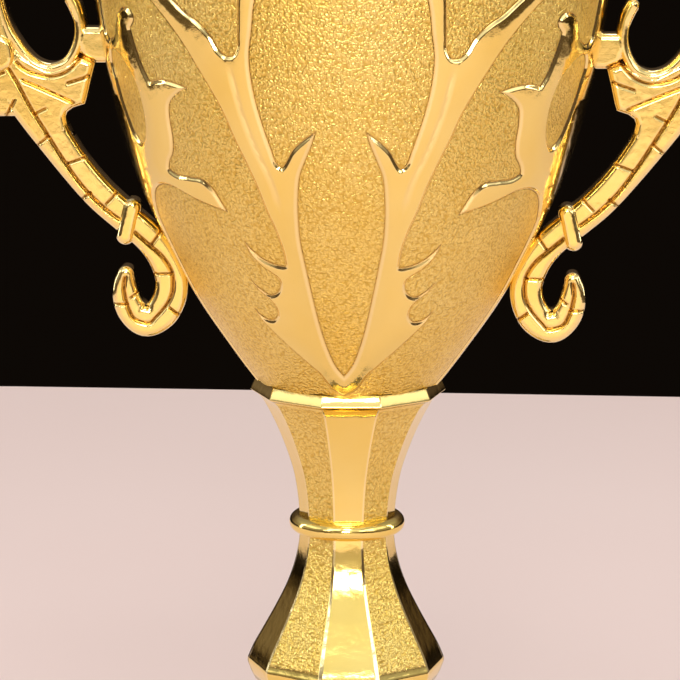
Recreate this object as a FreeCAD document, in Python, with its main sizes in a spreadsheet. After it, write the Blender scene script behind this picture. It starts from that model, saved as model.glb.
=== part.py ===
import FreeCAD, Part
import math
import os
import Sketcher
from FreeCAD import Placement, Rotation, Vector

# Gold cup trophy: a two-shell cup with scroll handles on a ten-sided stem and a black base, all
# clamped together by one M6 rod. Millimetres, +Z up, +X to the right handle, -Y to the front.
# The origin is the middle of the underside.

doc = FreeCAD.newDocument("cup_trophy")

SIZES = [
    ("base_height", 40.0, "table to the top of the black base"),
    ("base_radius", 42.0, "plinth of the base"),
    ("drum_radius", 37.0, "upright part of the base, which carries the plate"),
    ("cap_radius", 35.5, "top edge of the base"),
    ("base_wall", 2.6, "wall of the base moulding"),
    ("plinth_height", 10.0, "height of the plinth"),
    ("felt_thickness", 1.6, "felt under the base"),
    ("closing_plate", 3.0, "board that closes the base"),
    ("weight_height", 20.4, "cast weight in the base"),
    ("foot_radius", 31.0, "corner radius of the gold foot"),
    ("foot_top", 56.8, "height of the top of the foot"),
    ("seat_bottom", 60.0, "height of the underside of the riser seat"),
    ("riser_bottom", 67.0, "height of the underside of the riser"),
    ("riser_radius", 22.3, "corner radius of the riser at its widest"),
    ("riser_top", 102.4, "height of the top of the riser"),
    ("neck_radius", 10.8, "corner radius of the stem at its narrowest"),
    ("ring_radius", 11.0, "stem ring, middle of its round edge"),
    ("ring_edge", 2.0, "stem ring, radius of its round edge"),
    ("calyx_bottom", 105.6, "height of the underside of the calyx"),
    ("calyx_radius", 21.8, "corner radius of the calyx rim"),
    ("rim_height", 135.0, "height of the widest edge of the calyx"),
    ("bowl_height", 140.0, "calyx rim to the lip of the cup"),
    ("bowl_wall", 1.8, "wall of the cup"),
    ("lip_radius", 60.0, "outside of the rolled lip"),
    ("handle_thickness", 7.0, "handles, front to back"),
    ("collar_thickness", 8.4, "collars on the handles, front to back"),
    ("rod_diameter", 6.0, "M6 tie rod"),
    ("rod_clearance", 6.6, "holes that the rod passes through"),
    ("nut_flats", 10.0, "M6 nut across flats"),
    ("nut_height", 5.0, "M6 nut"),
    ("screw_diameter", 2.9, "self-tapping screws"),
    ("stem_turn", 4.0, "degrees that the stem is turned from the cup on the rod"),
]

# Outside of the cup: height above the calyx rim and radius, from the floor to the lip.
BOWL_SHAPE = [
    (-8.0, 11.2), (0.0, 18.5), (11.2, 26.8), (22.0, 33.9), (31.4, 38.8), (46.9, 45.9),
    (64.5, 51.2), (86.5, 55.3), (107.0, 57.3), (122.0, 57.2), (133.0, 57.9),
]
FLOOR_THICKNESS = 2.0
STEM_SIDES = 10

# The handle in its own plane: distance out from the axis, height above the calyx rim, half width.
ARM = [
    (49.6, 25.0, 1.9), (49.8, 22.8, 2.6), (49.5, 19.8, 3.0), (48.2, 16.8, 3.3), (45.2, 14.5, 3.5),
    (42.0, 16.1, 3.7), (40.0, 19.4, 3.7), (39.4, 23.5, 3.6), (41.0, 28.3, 3.3), (44.2, 33.0, 3.3),
    (49.2, 37.4, 3.4), (55.0, 42.5, 3.5), (61.1, 49.5, 3.6), (64.7, 54.4, 3.9), (69.5, 61.0, 4.2),
    (74.5, 68.2, 4.2), (78.0, 76.0, 3.9), (80.0, 85.0, 3.6), (80.2, 94.0, 3.5), (77.5, 102.0, 3.4),
    (72.6, 107.5, 3.3), (67.0, 111.3, 3.3), (61.8, 115.5, 3.2), (60.6, 120.3, 3.3),
    (62.7, 125.2, 3.3), (67.0, 127.3, 3.1), (71.0, 125.2, 2.8), (71.9, 121.4, 2.4),
    (70.7, 118.6, 1.8),
]
LOOP = [
    (77.6, 87.0, 1.3), (76.6, 82.5, 1.3), (75.2, 79.0, 1.3), (73.4, 76.1, 1.3), (71.6, 73.7, 1.3),
    (69.2, 71.6, 1.3), (65.9, 70.7, 1.3), (62.6, 71.9, 1.3), (60.5, 74.8, 1.3), (59.5, 78.2, 1.4),
    (59.7, 81.8, 1.4), (60.5, 84.3, 1.5), (61.5, 86.2, 1.5),
]
LOWER_COLLAR = [(48.2, 40.0, 2.1), (49.6, 33.8, 2.1)]
UPPER_COLLAR = [(67.0, 107.6, 2.1), (70.2, 112.7, 2.1)]
CABOCHON = [(77.4, 73.5, 3.8), (77.6, 74.7, 3.8)]
WEB = [
    (76.0, 68.0), (74.0, 76.0), (71.6, 73.7), (65.9, 70.7), (61.5, 72.3), (59.0, 73.6),
    (56.2, 72.2), (57.1, 68.6), (58.0, 64.6), (58.5, 63.0), (61.0, 62.2), (62.4, 61.2),
    (62.7, 60.1), (62.3, 58.4), (61.2, 56.2), (66.0, 56.0),
]
BLOCK = [(50.0, 72.2), (56.2, 72.2), (59.0, 73.4), (60.3, 77.0), (59.4, 80.0), (50.0, 80.0)]
SPUR = [(73.2, 60.1), (78.0, 60.0), (82.6, 61.2), (83.2, 63.5), (81.5, 67.0), (81.8, 73.0),
        (76.0, 72.0)]

# Handle fixings: height of each screw above the calyx rim, where it crosses the cup's surface.
FIXING_HEIGHTS = [29.5, 76.0, 117.5]
SCREW_REACH = 4.8        # thread in the handle
PILOT_START = 2.0        # the handles' pilot holes start this far inside the cup's surface
SCREW_LANDING = 2.8      # cup surface to the flat inside that the washer sits on
BOSS_RADIUS = 4.2
WASHER_THICKNESS = 0.8
SCREW_HEAD_HEIGHT = 2.0
SCREW_HEAD_RADIUS = 2.8
WASHER_RADIUS = 3.5
SLOT_WIDTH = 0.8         # driver slots of the screws
BOSS_ROOT = 0.9          # how far each boss sinks into the wall of the cup
FIT = 0.05               # clearance of parts that touch along a curve
SCREW_WAY_FIT = 0.1      # clearance round the shank of a screw
RECESS_FIT = 0.15        # clearance of the stem's necks in the rings' recesses
SPREADER_HEIGHT = 3.0


class Dim:
    """A length worked out from the sheet: its value now, and the expression that gives it."""

    def __init__(self, value, text):
        self.value = value
        self.text = text

    def _join(self, other, sign, result):
        text = other.text if isinstance(other, Dim) else repr(float(other))
        return Dim(result, "(%s %s %s)" % (self.text, sign, text))

    def __add__(self, other):
        return self._join(other, "+", self.value + number(other))

    def __sub__(self, other):
        return self._join(other, "-", self.value - number(other))

    def __mul__(self, other):
        return self._join(other, "*", self.value * number(other))

    def __truediv__(self, other):
        return self._join(other, "/", self.value / number(other))


def number(length):
    return length.value if isinstance(length, Dim) else float(length)


def fill_sheet():
    sheet = doc.addObject("Spreadsheet::Sheet", "sizes")
    for row, (alias, value, note) in enumerate(SIZES, start=1):
        sheet.set("A%d" % row, alias)
        sheet.set("B%d" % row, str(value))
        sheet.set("C%d" % row, note)
        sheet.setAlias("B%d" % row, alias)
    doc.recompute()
    return sheet


sheet = fill_sheet()


def size(alias):
    return Dim(float(sheet.get(alias)), "sizes." + alias)


def bind(thing, prop, length):
    """Set a property from the sheet, or to a plain number."""
    if isinstance(length, Dim):
        thing.setExpression(prop, length.text)
    else:
        setattr(thing, prop, length)


# ---- sketches and bodies ------------------------------------------------------------------------

def new_body(name):
    body = doc.addObject("PartDesign::Body", name)
    body.Label = name
    return body


def sketch_on(body, role, name):
    sketch = body.newObject("Sketcher::SketchObject", name)
    plane = next(item for item in body.Origin.OriginFeatures if item.Role == role)
    sketch.AttachmentSupport = (plane, [""])
    sketch.MapMode = "FlatFace"
    return sketch


def tie_point(sketch, line, name, x, y):
    """Hold the start of a line at a place given by the sheet."""
    for axis, length in (("X", x), ("Y", y)):
        value = number(length)
        if abs(value) < 1e-9:
            line_of_axis = -2 if axis == "X" else -1
            sketch.addConstraint(Sketcher.Constraint("PointOnObject", line, 1, line_of_axis))
            continue
        row = sketch.addConstraint(Sketcher.Constraint("Distance" + axis, -1, 1, line, 1, value))
        sketch.renameConstraint(row, name + axis)
        if isinstance(length, Dim):
            sketch.setExpression("Constraints." + name + axis, length.text)


def bound_polygon(body, role, name, points):
    """Closed outline of straight lines, each corner held where the sheet puts it."""
    sketch = sketch_on(body, role, name)
    corners = [Vector(number(x), number(y), 0) for x, y in points]
    count = len(corners)
    for i in range(count):
        sketch.addGeometry(Part.LineSegment(corners[i], corners[(i + 1) % count]), False)
    for i in range(count):
        sketch.addConstraint(Sketcher.Constraint("Coincident", i, 2, (i + 1) % count, 1))
    for i, (x, y) in enumerate(points):
        tie_point(sketch, i, "corner%d" % i, x, y)
    return sketch


def drawn_outline(body, role, name, curves):
    """Closed outline of the curves given, end to end."""
    sketch = sketch_on(body, role, name)
    for curve in curves:
        sketch.addGeometry(curve, False)
    return sketch


def revolve(body, sketch, name="turned", angle=360.0, other_way=False):
    turned = body.newObject("PartDesign::Revolution", name)
    turned.Profile = sketch
    turned.ReferenceAxis = (sketch, ["V_Axis"])
    turned.Angle = angle
    turned.Reversed = other_way
    return turned


def turned_body(name, points):
    """Solid of revolution about the upright axis from (radius, height) corners."""
    body = new_body(name)
    revolve(body, bound_polygon(body, "XZ_Plane", name + "_outline", points))
    return body


def pad_both_ways(body, sketch, name, thickness):
    pad = body.newObject("PartDesign::Pad", name)
    pad.Profile = sketch
    pad.SideType = "Symmetric"
    bind(pad, "Length", thickness)
    return pad


def peg(body, kind, name, radius, length, placement):
    """Cylinder added to a body or cut from it, standing on the placement along its own Z."""
    tool = body.newObject("PartDesign::%sCylinder" % kind, name)
    bind(tool, "Radius", radius)
    bind(tool, "Height", length)
    tool.Placement = placement
    return tool


# ---- part primitives ----------------------------------------------------------------------------

def cylinder(name, radius, bottom, height):
    thing = doc.addObject("Part::Cylinder", name)
    bind(thing, "Radius", radius)
    bind(thing, "Height", height)
    if isinstance(bottom, Dim):
        thing.setExpression("Placement.Base.z", bottom.text)
    else:
        thing.Placement = Placement(Vector(0, 0, bottom), Rotation())
    return thing


def cone(name, lower_radius, upper_radius, bottom, height):
    thing = doc.addObject("Part::Cone", name)
    bind(thing, "Radius1", lower_radius)
    bind(thing, "Radius2", upper_radius)
    bind(thing, "Height", height)
    thing.setExpression("Placement.Base.z", bottom.text)
    return thing


def cut(name, base, tools):
    """Base less each tool in turn; the last result carries the name."""
    for i, tool in enumerate(tools):
        last = i == len(tools) - 1
        result = doc.addObject("Part::Cut", name if last else "%s_cut_%d" % (name, i))
        result.Base = base
        result.Tool = tool
        base = result
    base.Label = name
    return base


def fuse(name, parts):
    result = doc.addObject("Part::MultiFuse", name)
    result.Shapes = parts
    result.Refine = True
    return result


def faceted(name, stations, ruled):
    """Ten-sided solid through stations of (height, corner radius)."""
    rings = []
    for i, (height, radius) in enumerate(stations):
        ring = doc.addObject("Part::RegularPolygon", "%s_ring_%d" % (name, i))
        ring.Polygon = STEM_SIDES
        bind(ring, "Circumradius", radius)
        turn = 180.0 / STEM_SIDES + 90.0 + size("stem_turn").value
        ring.Placement = Placement(Vector(0, 0, number(height)), Rotation(Vector(0, 0, 1), turn))
        ring.setExpression("Placement.Base.z", height.text)
        rings.append(ring)
    loft = doc.addObject("Part::Loft", name)
    loft.Sections = rings
    loft.Solid = True
    loft.Ruled = ruled
    return loft


# ---- the base -----------------------------------------------------------------------------------

PLATE_SCREW_ANGLES = (90.0, 210.0, 330.0)
PLATE_SCREW_CIRCLE = 34.4
PLATE_SCREW_LENGTH = 10.0
POST_RADIUS = 2.4
POST_HEIGHT = 9.4
THREAD_RADIUS = 1.2
PLATE_SCREW_WAY = 1.6
BOSS_WALL = 4.0          # wall of the tube inside the cover that the rod runs through
COVER_TOP = 3.2          # thickness of the cover under the foot
COUNTERSINK_RADIUS = 2.8
COUNTERSINK_DEPTH = 1.4
NUT_POCKET_RADIUS = 9.0
NUT_POCKET_DEPTH = 8.0
COVER_LIFT = 0.7         # gap between the table and the edge of the base moulding


def around(angle, radius, height):
    turn = math.radians(angle)
    return Vector(radius * math.cos(turn), radius * math.sin(turn), height)


def base_cover():
    bore = size("rod_clearance") / 2
    top = size("base_height")
    cap = size("cap_radius")
    drum = size("drum_radius")
    plinth = size("base_radius")
    step = size("plinth_height")
    wall = size("base_wall")
    under_top = top - COVER_TOP
    boss_end = size("felt_thickness") + size("closing_plate") + size("weight_height")
    body = turned_body("base_cover", [
        (bore, top), (cap - 1.5, top), (cap, top - 1.5), (cap, top - 5.5), (drum, top - 7.0),
        (drum, step), (plinth - 1.0, step), (plinth, step - 1.0), (plinth, COVER_LIFT + 1.0),
        (plinth - 1.0, COVER_LIFT), (plinth - wall, COVER_LIFT), (plinth - wall, step - 2.0),
        (drum - wall, step), (drum - wall, top - 8.5), (cap - wall, under_top),
        (bore + BOSS_WALL, under_top), (bore + BOSS_WALL, boss_end), (bore, boss_end),
    ])
    floor = number(size("felt_thickness") + size("closing_plate"))
    for i, angle in enumerate(PLATE_SCREW_ANGLES):
        foot = Placement(around(angle, PLATE_SCREW_CIRCLE, floor), Rotation())
        peg(body, "Additive", "screw_post_%d" % i, POST_RADIUS, POST_HEIGHT, foot)
        peg(body, "Subtractive", "screw_hole_%d" % i, THREAD_RADIUS, POST_HEIGHT - 1.0, foot)
    return body


def base_weight():
    bottom = size("felt_thickness") + size("closing_plate")
    bore = size("rod_clearance") / 2
    top = bottom + size("weight_height")
    outside = size("drum_radius") - 5.5
    pocket_top = bottom + NUT_POCKET_DEPTH
    return turned_body("base_weight", [
        (bore, pocket_top), (NUT_POCKET_RADIUS, pocket_top), (NUT_POCKET_RADIUS, bottom),
        (outside - 1.0, bottom), (outside, bottom + 1.0), (outside, top - 1.0),
        (outside - 1.0, top), (bore, top),
    ])


def base_plate():
    bottom = size("felt_thickness")
    top = bottom + size("closing_plate")
    outside = size("base_radius") - size("base_wall") - 0.3
    body = turned_body("base_plate", [
        (NUT_POCKET_RADIUS, bottom), (outside, bottom), (outside, top), (NUT_POCKET_RADIUS, top),
    ])
    for i, angle in enumerate(PLATE_SCREW_ANGLES):
        foot = Placement(around(angle, PLATE_SCREW_CIRCLE, bottom.value), Rotation())
        peg(body, "Subtractive", "screw_way_%d" % i, PLATE_SCREW_WAY, size("closing_plate"),
             foot)
        sink = body.newObject("PartDesign::SubtractiveCone", "countersink_%d" % i)
        sink.Radius1 = COUNTERSINK_RADIUS
        sink.Radius2 = PLATE_SCREW_WAY
        sink.Height = COUNTERSINK_DEPTH
        sink.Placement = foot
    return body


def drive_slot(length, depth, bottom):
    corner = Vector(-length / 2, -SLOT_WIDTH / 2, bottom)
    return Part.makeBox(length, SLOT_WIDTH, depth, corner)


def base_plate_screws():
    bottom = size("felt_thickness").value
    shank = size("screw_diameter").value / 2
    screws = []
    for angle in PLATE_SCREW_ANGLES:
        foot = around(angle, PLATE_SCREW_CIRCLE, bottom)
        head = Part.makeCone(COUNTERSINK_RADIUS - FIT, shank, COUNTERSINK_DEPTH)
        stem = Part.makeCylinder(shank, size("closing_plate").value)
        thread = Part.makeCylinder(THREAD_RADIUS - FIT, PLATE_SCREW_LENGTH)
        screw = head.fuse([stem, thread]).removeSplitter()
        slot = drive_slot(4.4, 0.7, 0.0)
        screw = screw.cut(slot)
        screw.translate(foot)
        screws.append(screw)
    group = doc.addObject("Part::Feature", "base_plate_screws")
    group.Shape = Part.makeCompound(screws)
    return group


def felt_pad():
    outside = size("base_radius") - size("base_wall") - 1.0
    return cylinder("felt_pad", outside, 0.0, size("felt_thickness"))


def base_trim_ring():
    drum = size("drum_radius")
    bottom = size("plinth_height")
    return turned_body("base_trim_ring", [
        (drum + FIT, bottom), (drum + 3.0, bottom), (drum + 3.6, bottom + 0.7),
        (drum + 3.0, bottom + 1.4), (drum + 1.2, bottom + 2.2), (drum + FIT, bottom + 2.2),
    ])


PLATE_ANGLE = 68.0
PLATE_HEIGHT = 14.0
PLATE_LIFT = 4.8         # plinth to the lower edge of the plate
TAPE_INSET = 1.0         # the tape stops this far inside the plate's edges
TAPE_INSET_ANGLE = 3.0
TAPE_THICKNESS = 0.3
PLATE_THICKNESS = 0.8


def curved_plate(name, inner, thickness, angle, bottom, height):
    """Sheet bent round the drum, centred on the front."""
    outer = cylinder(name + "_outer", inner + thickness, bottom, height)
    outer.Angle = angle
    hollow = cylinder(name + "_inner", inner, bottom, height)
    turn = Rotation(Vector(0, 0, 1), -90.0 - angle / 2)
    outer.Placement = Placement(Vector(0, 0, number(bottom)), turn)
    outer.setExpression("Placement.Base.z", bottom.text)
    return cut(name, outer, [hollow])


def name_plate():
    inner = size("drum_radius") + TAPE_THICKNESS
    return curved_plate("name_plate", inner, PLATE_THICKNESS, PLATE_ANGLE,
                        size("plinth_height") + PLATE_LIFT, PLATE_HEIGHT)


def plate_tape():
    angle = PLATE_ANGLE - 2 * TAPE_INSET_ANGLE
    bottom = size("plinth_height") + PLATE_LIFT + TAPE_INSET
    return curved_plate("plate_tape", size("drum_radius"), TAPE_THICKNESS, angle, bottom,
                        PLATE_HEIGHT - 2 * TAPE_INSET)


# ---- the stem -----------------------------------------------------------------------------------

def rod_hole(name):
    """Bore for the tie rod, long enough for any part of the stack."""
    return cylinder(name, size("rod_clearance") / 2, 0.0, size("rim_height") + 20.0)


def foot():
    top = size("foot_top")
    bottom = size("base_height")
    wide = size("foot_radius")
    neck = size("neck_radius")
    bell = faceted("foot_bell", [
        (bottom + 3.0, wide - 0.8), (bottom + 4.6, wide - 5.0), (bottom + 7.6, wide - 12.2),
        (bottom + 11.6, neck + 3.0), (top, neck),
    ], False)
    band = faceted("foot_band", [
        (bottom, wide - 0.6), (bottom + 0.6, wide), (bottom + 2.2, wide), (bottom + 3.0, wide - 0.8),
    ], True)
    hollow = cone("foot_hollow", wide - 7.0, 7.0, bottom - 0.01, 11.0)
    return cut("foot", fuse("foot_solid", [bell, band]), [hollow, rod_hole("foot_bore")])


def edge_ring(name, bottom, top):
    """Round-edged ring, recessed in each face round the neck of the part it meets there."""
    height = top - bottom
    middle = bottom + height / 2
    recess = size("ring_edge") * 2.5
    neck = size("neck_radius") + RECESS_FIT
    bead = doc.addObject("Part::Torus", name + "_bead")
    bind(bead, "Radius1", size("ring_radius"))
    bind(bead, "Radius2", size("ring_edge"))
    bead.setExpression("Placement.Base.z", middle.text)
    web = cylinder(name + "_web", size("ring_radius"), bottom, height)
    below = cylinder(name + "_below", neck, bottom - recess, recess)
    above = cylinder(name + "_above", neck, top, recess)
    return cut(name, fuse(name + "_solid", [bead, web]), [below, above, rod_hole(name + "_bore")])


def lower_ring():
    return edge_ring("lower_ring", size("foot_top"), size("seat_bottom"))


def stem_ring():
    return edge_ring("stem_ring", size("riser_top"), size("calyx_bottom"))


def riser_seat():
    bore = size("rod_clearance") / 2
    bottom = size("seat_bottom")
    top = size("riser_bottom")
    wide = size("riser_radius")
    neck = size("neck_radius")
    return turned_body("riser_seat", [
        (bore, bottom), (neck, bottom), (neck + 0.6, bottom + 1.5), (neck + 2.6, bottom + 3.6),
        (wide - 5.2, bottom + 5.2), (wide - 2.9, bottom + 6.0), (wide - 2.4, top),
        (wide - 5.8, top), (wide - 6.8, top + 3.0), (bore, top + 3.0),
    ])


def riser():
    bottom = size("riser_bottom")
    wide = size("riser_radius")
    neck = size("neck_radius")
    top = size("riser_top")
    edge = bottom + 5.6
    bell = faceted("riser_bell", [
        (edge, wide - 0.1), (edge + 2.3, wide - 1.1), (edge + 7.3, wide - 3.8),
        (edge + 12.3, wide - 6.5), (edge + 17.3, neck + 2.6), (edge + 22.3, neck + 0.9),
        (top - 2.8, neck), (top, neck - 0.2),
    ], False)
    skirt = faceted("riser_skirt", [
        (bottom, wide - 2.1), (bottom + 2.4, wide - 0.8), (bottom + 4.6, wide), (edge, wide - 0.1),
    ], True)
    hollow = cone("riser_hollow", wide - 5.4, 7.0, bottom - 0.01, 31.0)
    return cut("riser", fuse("riser_solid", [bell, skirt]), [hollow, rod_hole("riser_bore")])


def calyx():
    bottom = size("calyx_bottom")
    neck = size("neck_radius")
    rim = size("rim_height")
    wide = size("calyx_radius")
    cup = faceted("calyx_cup", [
        (bottom, neck - 0.1), (bottom + 2.5, neck + 0.1), (bottom + 5.0, neck + 0.4),
        (bottom + 10.0, neck + 1.3), (bottom + 15.0, neck + 2.9), (bottom + 20.0, neck + 4.9),
        (bottom + 25.0, wide - 3.5), (rim - 2.2, wide - 1.8),
    ], False)
    band = faceted("calyx_band", [
        (rim - 2.6, wide - 1.2), (rim - 1.8, wide - 0.5), (rim - 0.4, wide), (rim + 0.4, wide - 0.4),
        (rim + 1.2, wide - 1.5),
    ], True)
    socket = cone("calyx_socket", 11.6, 20.0, rim - 8.1, 9.6)
    hollow = cone("calyx_hollow", 7.6, 10.4, bottom + 4.0, 18.0)
    return cut("calyx", fuse("calyx_solid", [cup, band]),
               [socket, hollow, rod_hole("calyx_bore")])


# ---- the cup ------------------------------------------------------------------------------------

def bowl_curve(offset=0.0):
    """Outside of the cup in the (radius, height) plane, moved along its normal by offset."""
    rim = size("rim_height").value
    shape = Part.BSplineCurve()
    shape.interpolate([Vector(radius, rim + height, 0) for height, radius in BOWL_SHAPE])
    if offset == 0.0:
        return shape
    moved = []
    for height, radius in BOWL_SHAPE:
        point = Vector(radius, rim + height, 0)
        along = shape.tangent(shape.parameter(point))[0]
        moved.append(point + Vector(along.y, -along.x, 0) * offset)
    moved[0].y = rim + BOWL_SHAPE[0][0] + (FLOOR_THICKNESS if offset < -FIT else 0.0)
    moved[-1].y = rim + BOWL_SHAPE[-1][0]
    curve = Part.BSplineCurve()
    curve.interpolate(moved)
    return curve


def bowl_surface(height):
    """Point of the cup's outside at a height above the calyx rim, and its outward normal."""
    curve = bowl_curve()
    level = size("rim_height").value + height
    row = Part.LineSegment(Vector(0, level, 0), Vector(100, level, 0))
    hit = curve.intersect(row)[0]
    point = Vector(hit.X, hit.Y, 0)
    along = curve.tangent(curve.parameter(point))[0]
    if along.y < 0:
        along = -along
    return point, Vector(along.y, -along.x, 0)


def fixing_places():
    """Where each handle screw crosses the cup: its placement, with its own Z pointing outward."""
    places = []
    for side in (-1, 1):
        for height in FIXING_HEIGHTS:
            point, normal = bowl_surface(height)
            outward = Vector(side * normal.x, 0, normal.y)
            spin = Rotation(Vector(0, 0, 1), outward)
            places.append(Placement(Vector(side * point.x, 0, point.y), spin))
    return places


def inset(place, depth):
    """The same line, started that far inside the cup's surface."""
    return place.multiply(Placement(Vector(0, 0, -depth), Rotation()))


def closed(curves):
    """Straight lines that join each curve's end to the next one's start."""
    outline = []
    for i, curve in enumerate(curves):
        outline.append(curve)
        start = curve.value(curve.LastParameter)
        end = curves[(i + 1) % len(curves)]
        finish = end.value(end.FirstParameter)
        if start.distanceToPoint(finish) > 1e-6:
            outline.append(Part.LineSegment(start, finish))
    return outline


def bowl_half(name, front):
    body = new_body(name)
    outer = bowl_curve()
    inner = bowl_curve(-size("bowl_wall").value)
    bore = size("rod_clearance").value / 2
    floor = outer.value(outer.FirstParameter).y
    inner.reverse()
    floor_edge = Part.LineSegment(Vector(bore, floor + FLOOR_THICKNESS, 0), Vector(bore, floor, 0))
    sketch = drawn_outline(body, "XZ_Plane", name + "_outline", closed([outer, inner, floor_edge]))
    revolve(body, sketch, "shell", 180.0, front)
    for i, place in enumerate(fixing_places()):
        peg(body, "Additive", "boss_%d" % i, BOSS_RADIUS, SCREW_LANDING - BOSS_ROOT,
            inset(place, SCREW_LANDING))
    for i, place in enumerate(fixing_places()):
        peg(body, "Subtractive", "screw_way_%d" % i, size("screw_diameter") / 2 + SCREW_WAY_FIT,
            SCREW_LANDING + 3.2, inset(place, SCREW_LANDING + 2.2))
    other = body.newObject("PartDesign::SubtractiveBox", "seam")
    reach = 100.0
    other.Length = 2 * reach
    other.Width = reach
    other.Height = 2 * reach
    other.Placement = Placement(Vector(-reach, 0.0 if front else -reach, reach), Rotation())
    return body


def bowl_rim():
    rim = size("rim_height") + size("bowl_height")
    wide = size("lip_radius")
    skin = BOWL_SHAPE[-1][1] + FIT
    inside = BOWL_SHAPE[-1][1] - size("bowl_wall").value
    shell_top = size("rim_height") + BOWL_SHAPE[-1][0]
    return turned_body("bowl_rim", [
        (skin, shell_top - 3.0), (skin + 0.9, shell_top - 3.4), (skin + 1.2, shell_top - 2.8),
        (skin + 1.2, rim - 4.6), (wide - 0.5, rim - 3.2), (wide, rim - 2.0), (wide - 0.3, rim - 0.7),
        (wide - 1.4, rim), (wide - 2.9, rim - 0.5), (inside + 0.3, rim - 3.2),
        (inside, shell_top + FIT), (skin, shell_top + FIT),
    ])


def bowl_spreader():
    floor = size("rim_height") + BOWL_SHAPE[0][0] + FLOOR_THICKNESS
    bore = size("rod_clearance") / 2
    return turned_body("bowl_spreader", [
        (bore, floor), (9.0, floor), (10.0, floor + 1.4), (10.0, floor + 2.2),
        (9.2, floor + SPREADER_HEIGHT), (bore, floor + SPREADER_HEIGHT),
    ])


# ---- the handles --------------------------------------------------------------------------------

def stroke(points):
    """Outline of a band drawn along the points, each with its own half width, round at both ends."""
    rim = size("rim_height").value
    middle = [Vector(out, rim + up, 0) for out, up, half in points]
    spine = Part.BSplineCurve()
    spine.interpolate(middle)
    left = []
    right = []
    tangents = []
    for point, (out, up, half) in zip(middle, points):
        along = spine.tangent(spine.parameter(point))[0]
        side = Vector(-along.y, along.x, 0) * half
        tangents.append(along)
        left.append(point + side)
        right.append(point - side)
    edges = []
    for side in (left, right[::-1]):
        curve = Part.BSplineCurve()
        curve.interpolate(side)
        edges.append(curve)
    far_tip = middle[-1] + tangents[-1] * points[-1][2]
    near_tip = middle[0] - tangents[0] * points[0][2]
    far_cap = Part.Arc(left[-1], far_tip, right[-1])
    near_cap = Part.Arc(right[0], near_tip, left[0])
    return [edges[0], far_cap, edges[1], near_cap]


def polygon(points):
    rim = size("rim_height").value
    corners = [Vector(out, rim + up, 0) for out, up in points]
    return [Part.LineSegment(a, b) for a, b in zip(corners, corners[1:] + corners[:1])]


def handle(name, half_turn):
    """Flat moulding in the XZ plane; the left one is the right one turned half round."""
    body = new_body(name)
    thin = size("handle_thickness")
    thick = size("collar_thickness")
    pieces = [
        ("arm", stroke(ARM), thin), ("loop", stroke(LOOP), thin), ("web", polygon(WEB), thin),
        ("block", polygon(BLOCK), thin), ("spur", polygon(SPUR), thin),
        ("lower_collar", stroke(LOWER_COLLAR), thick), ("upper_collar", stroke(UPPER_COLLAR), thick),
        ("cabochon", stroke(CABOCHON), thick),
    ]
    for label, curves, thickness in pieces:
        sketch = drawn_outline(body, "XZ_Plane", "%s_%s_outline" % (name, label), curves)
        pad_both_ways(body, sketch, "%s_%s" % (name, label), thickness)
    saddle = bowl_curve(FIT)
    top = saddle.value(saddle.LastParameter)
    bottom = saddle.value(saddle.FirstParameter)
    axis = Part.LineSegment(Vector(0, top.y, 0), Vector(0, bottom.y, 0))
    space = drawn_outline(body, "XZ_Plane", name + "_saddle_outline", closed([saddle, axis]))
    groove = body.newObject("PartDesign::Groove", name + "_saddle")
    groove.Profile = space
    groove.ReferenceAxis = (space, ["V_Axis"])
    groove.Angle = 360.0
    right_side = [place for place in fixing_places() if place.Base.x > 0]
    for i, place in enumerate(right_side):
        peg(body, "Subtractive", "%s_pilot_%d" % (name, i), size("screw_diameter") / 2 + FIT,
            SCREW_REACH + PILOT_START + 0.4, inset(place, PILOT_START))
    if half_turn:
        body.Placement = Placement(Vector(), Rotation(Vector(0, 0, 1), 180.0))
    return body


def group_at_fixings(name, master, depth):
    """Copies of one master shape, one at each handle fixing."""
    copies = []
    for place in fixing_places():
        copy = master.copy()
        copy.Placement = inset(place, depth)
        copies.append(copy)
    group = doc.addObject("Part::Feature", name)
    group.Shape = Part.makeCompound(copies)
    return group


def handle_washers():
    hole = Part.makeCylinder(size("screw_diameter").value / 2 + SCREW_WAY_FIT, WASHER_THICKNESS)
    ring = Part.makeCylinder(WASHER_RADIUS, WASHER_THICKNESS).cut(hole)
    return group_at_fixings("handle_washers", ring, SCREW_LANDING + WASHER_THICKNESS)


def handle_screws():
    landing = SCREW_LANDING + WASHER_THICKNESS
    shank = Part.makeCylinder(size("screw_diameter").value / 2, landing + SCREW_REACH)
    head = Part.makeCylinder(SCREW_HEAD_RADIUS, SCREW_HEAD_HEIGHT, Vector(0, 0, -SCREW_HEAD_HEIGHT))
    top_edges = [edge for edge in head.Edges if abs(edge.CenterOfMass.z + SCREW_HEAD_HEIGHT) < 1e-6]
    head = head.makeFillet(0.7, top_edges)
    slot = drive_slot(8.0, 0.9, -SCREW_HEAD_HEIGHT)
    screw = head.cut(slot).fuse(shank).removeSplitter()
    return group_at_fixings("handle_screws", screw, landing)


# ---- the rod that clamps the stack --------------------------------------------------------------

WASHER_HEIGHT = 1.5
ROD_WASHER_RADIUS = 8.0


def washer(name, bottom):
    bore = size("rod_clearance") / 2
    radius = ROD_WASHER_RADIUS
    return turned_body(name, [
        (bore, bottom), (radius, bottom), (radius, bottom + WASHER_HEIGHT),
        (bore, bottom + WASHER_HEIGHT),
    ])


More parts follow.
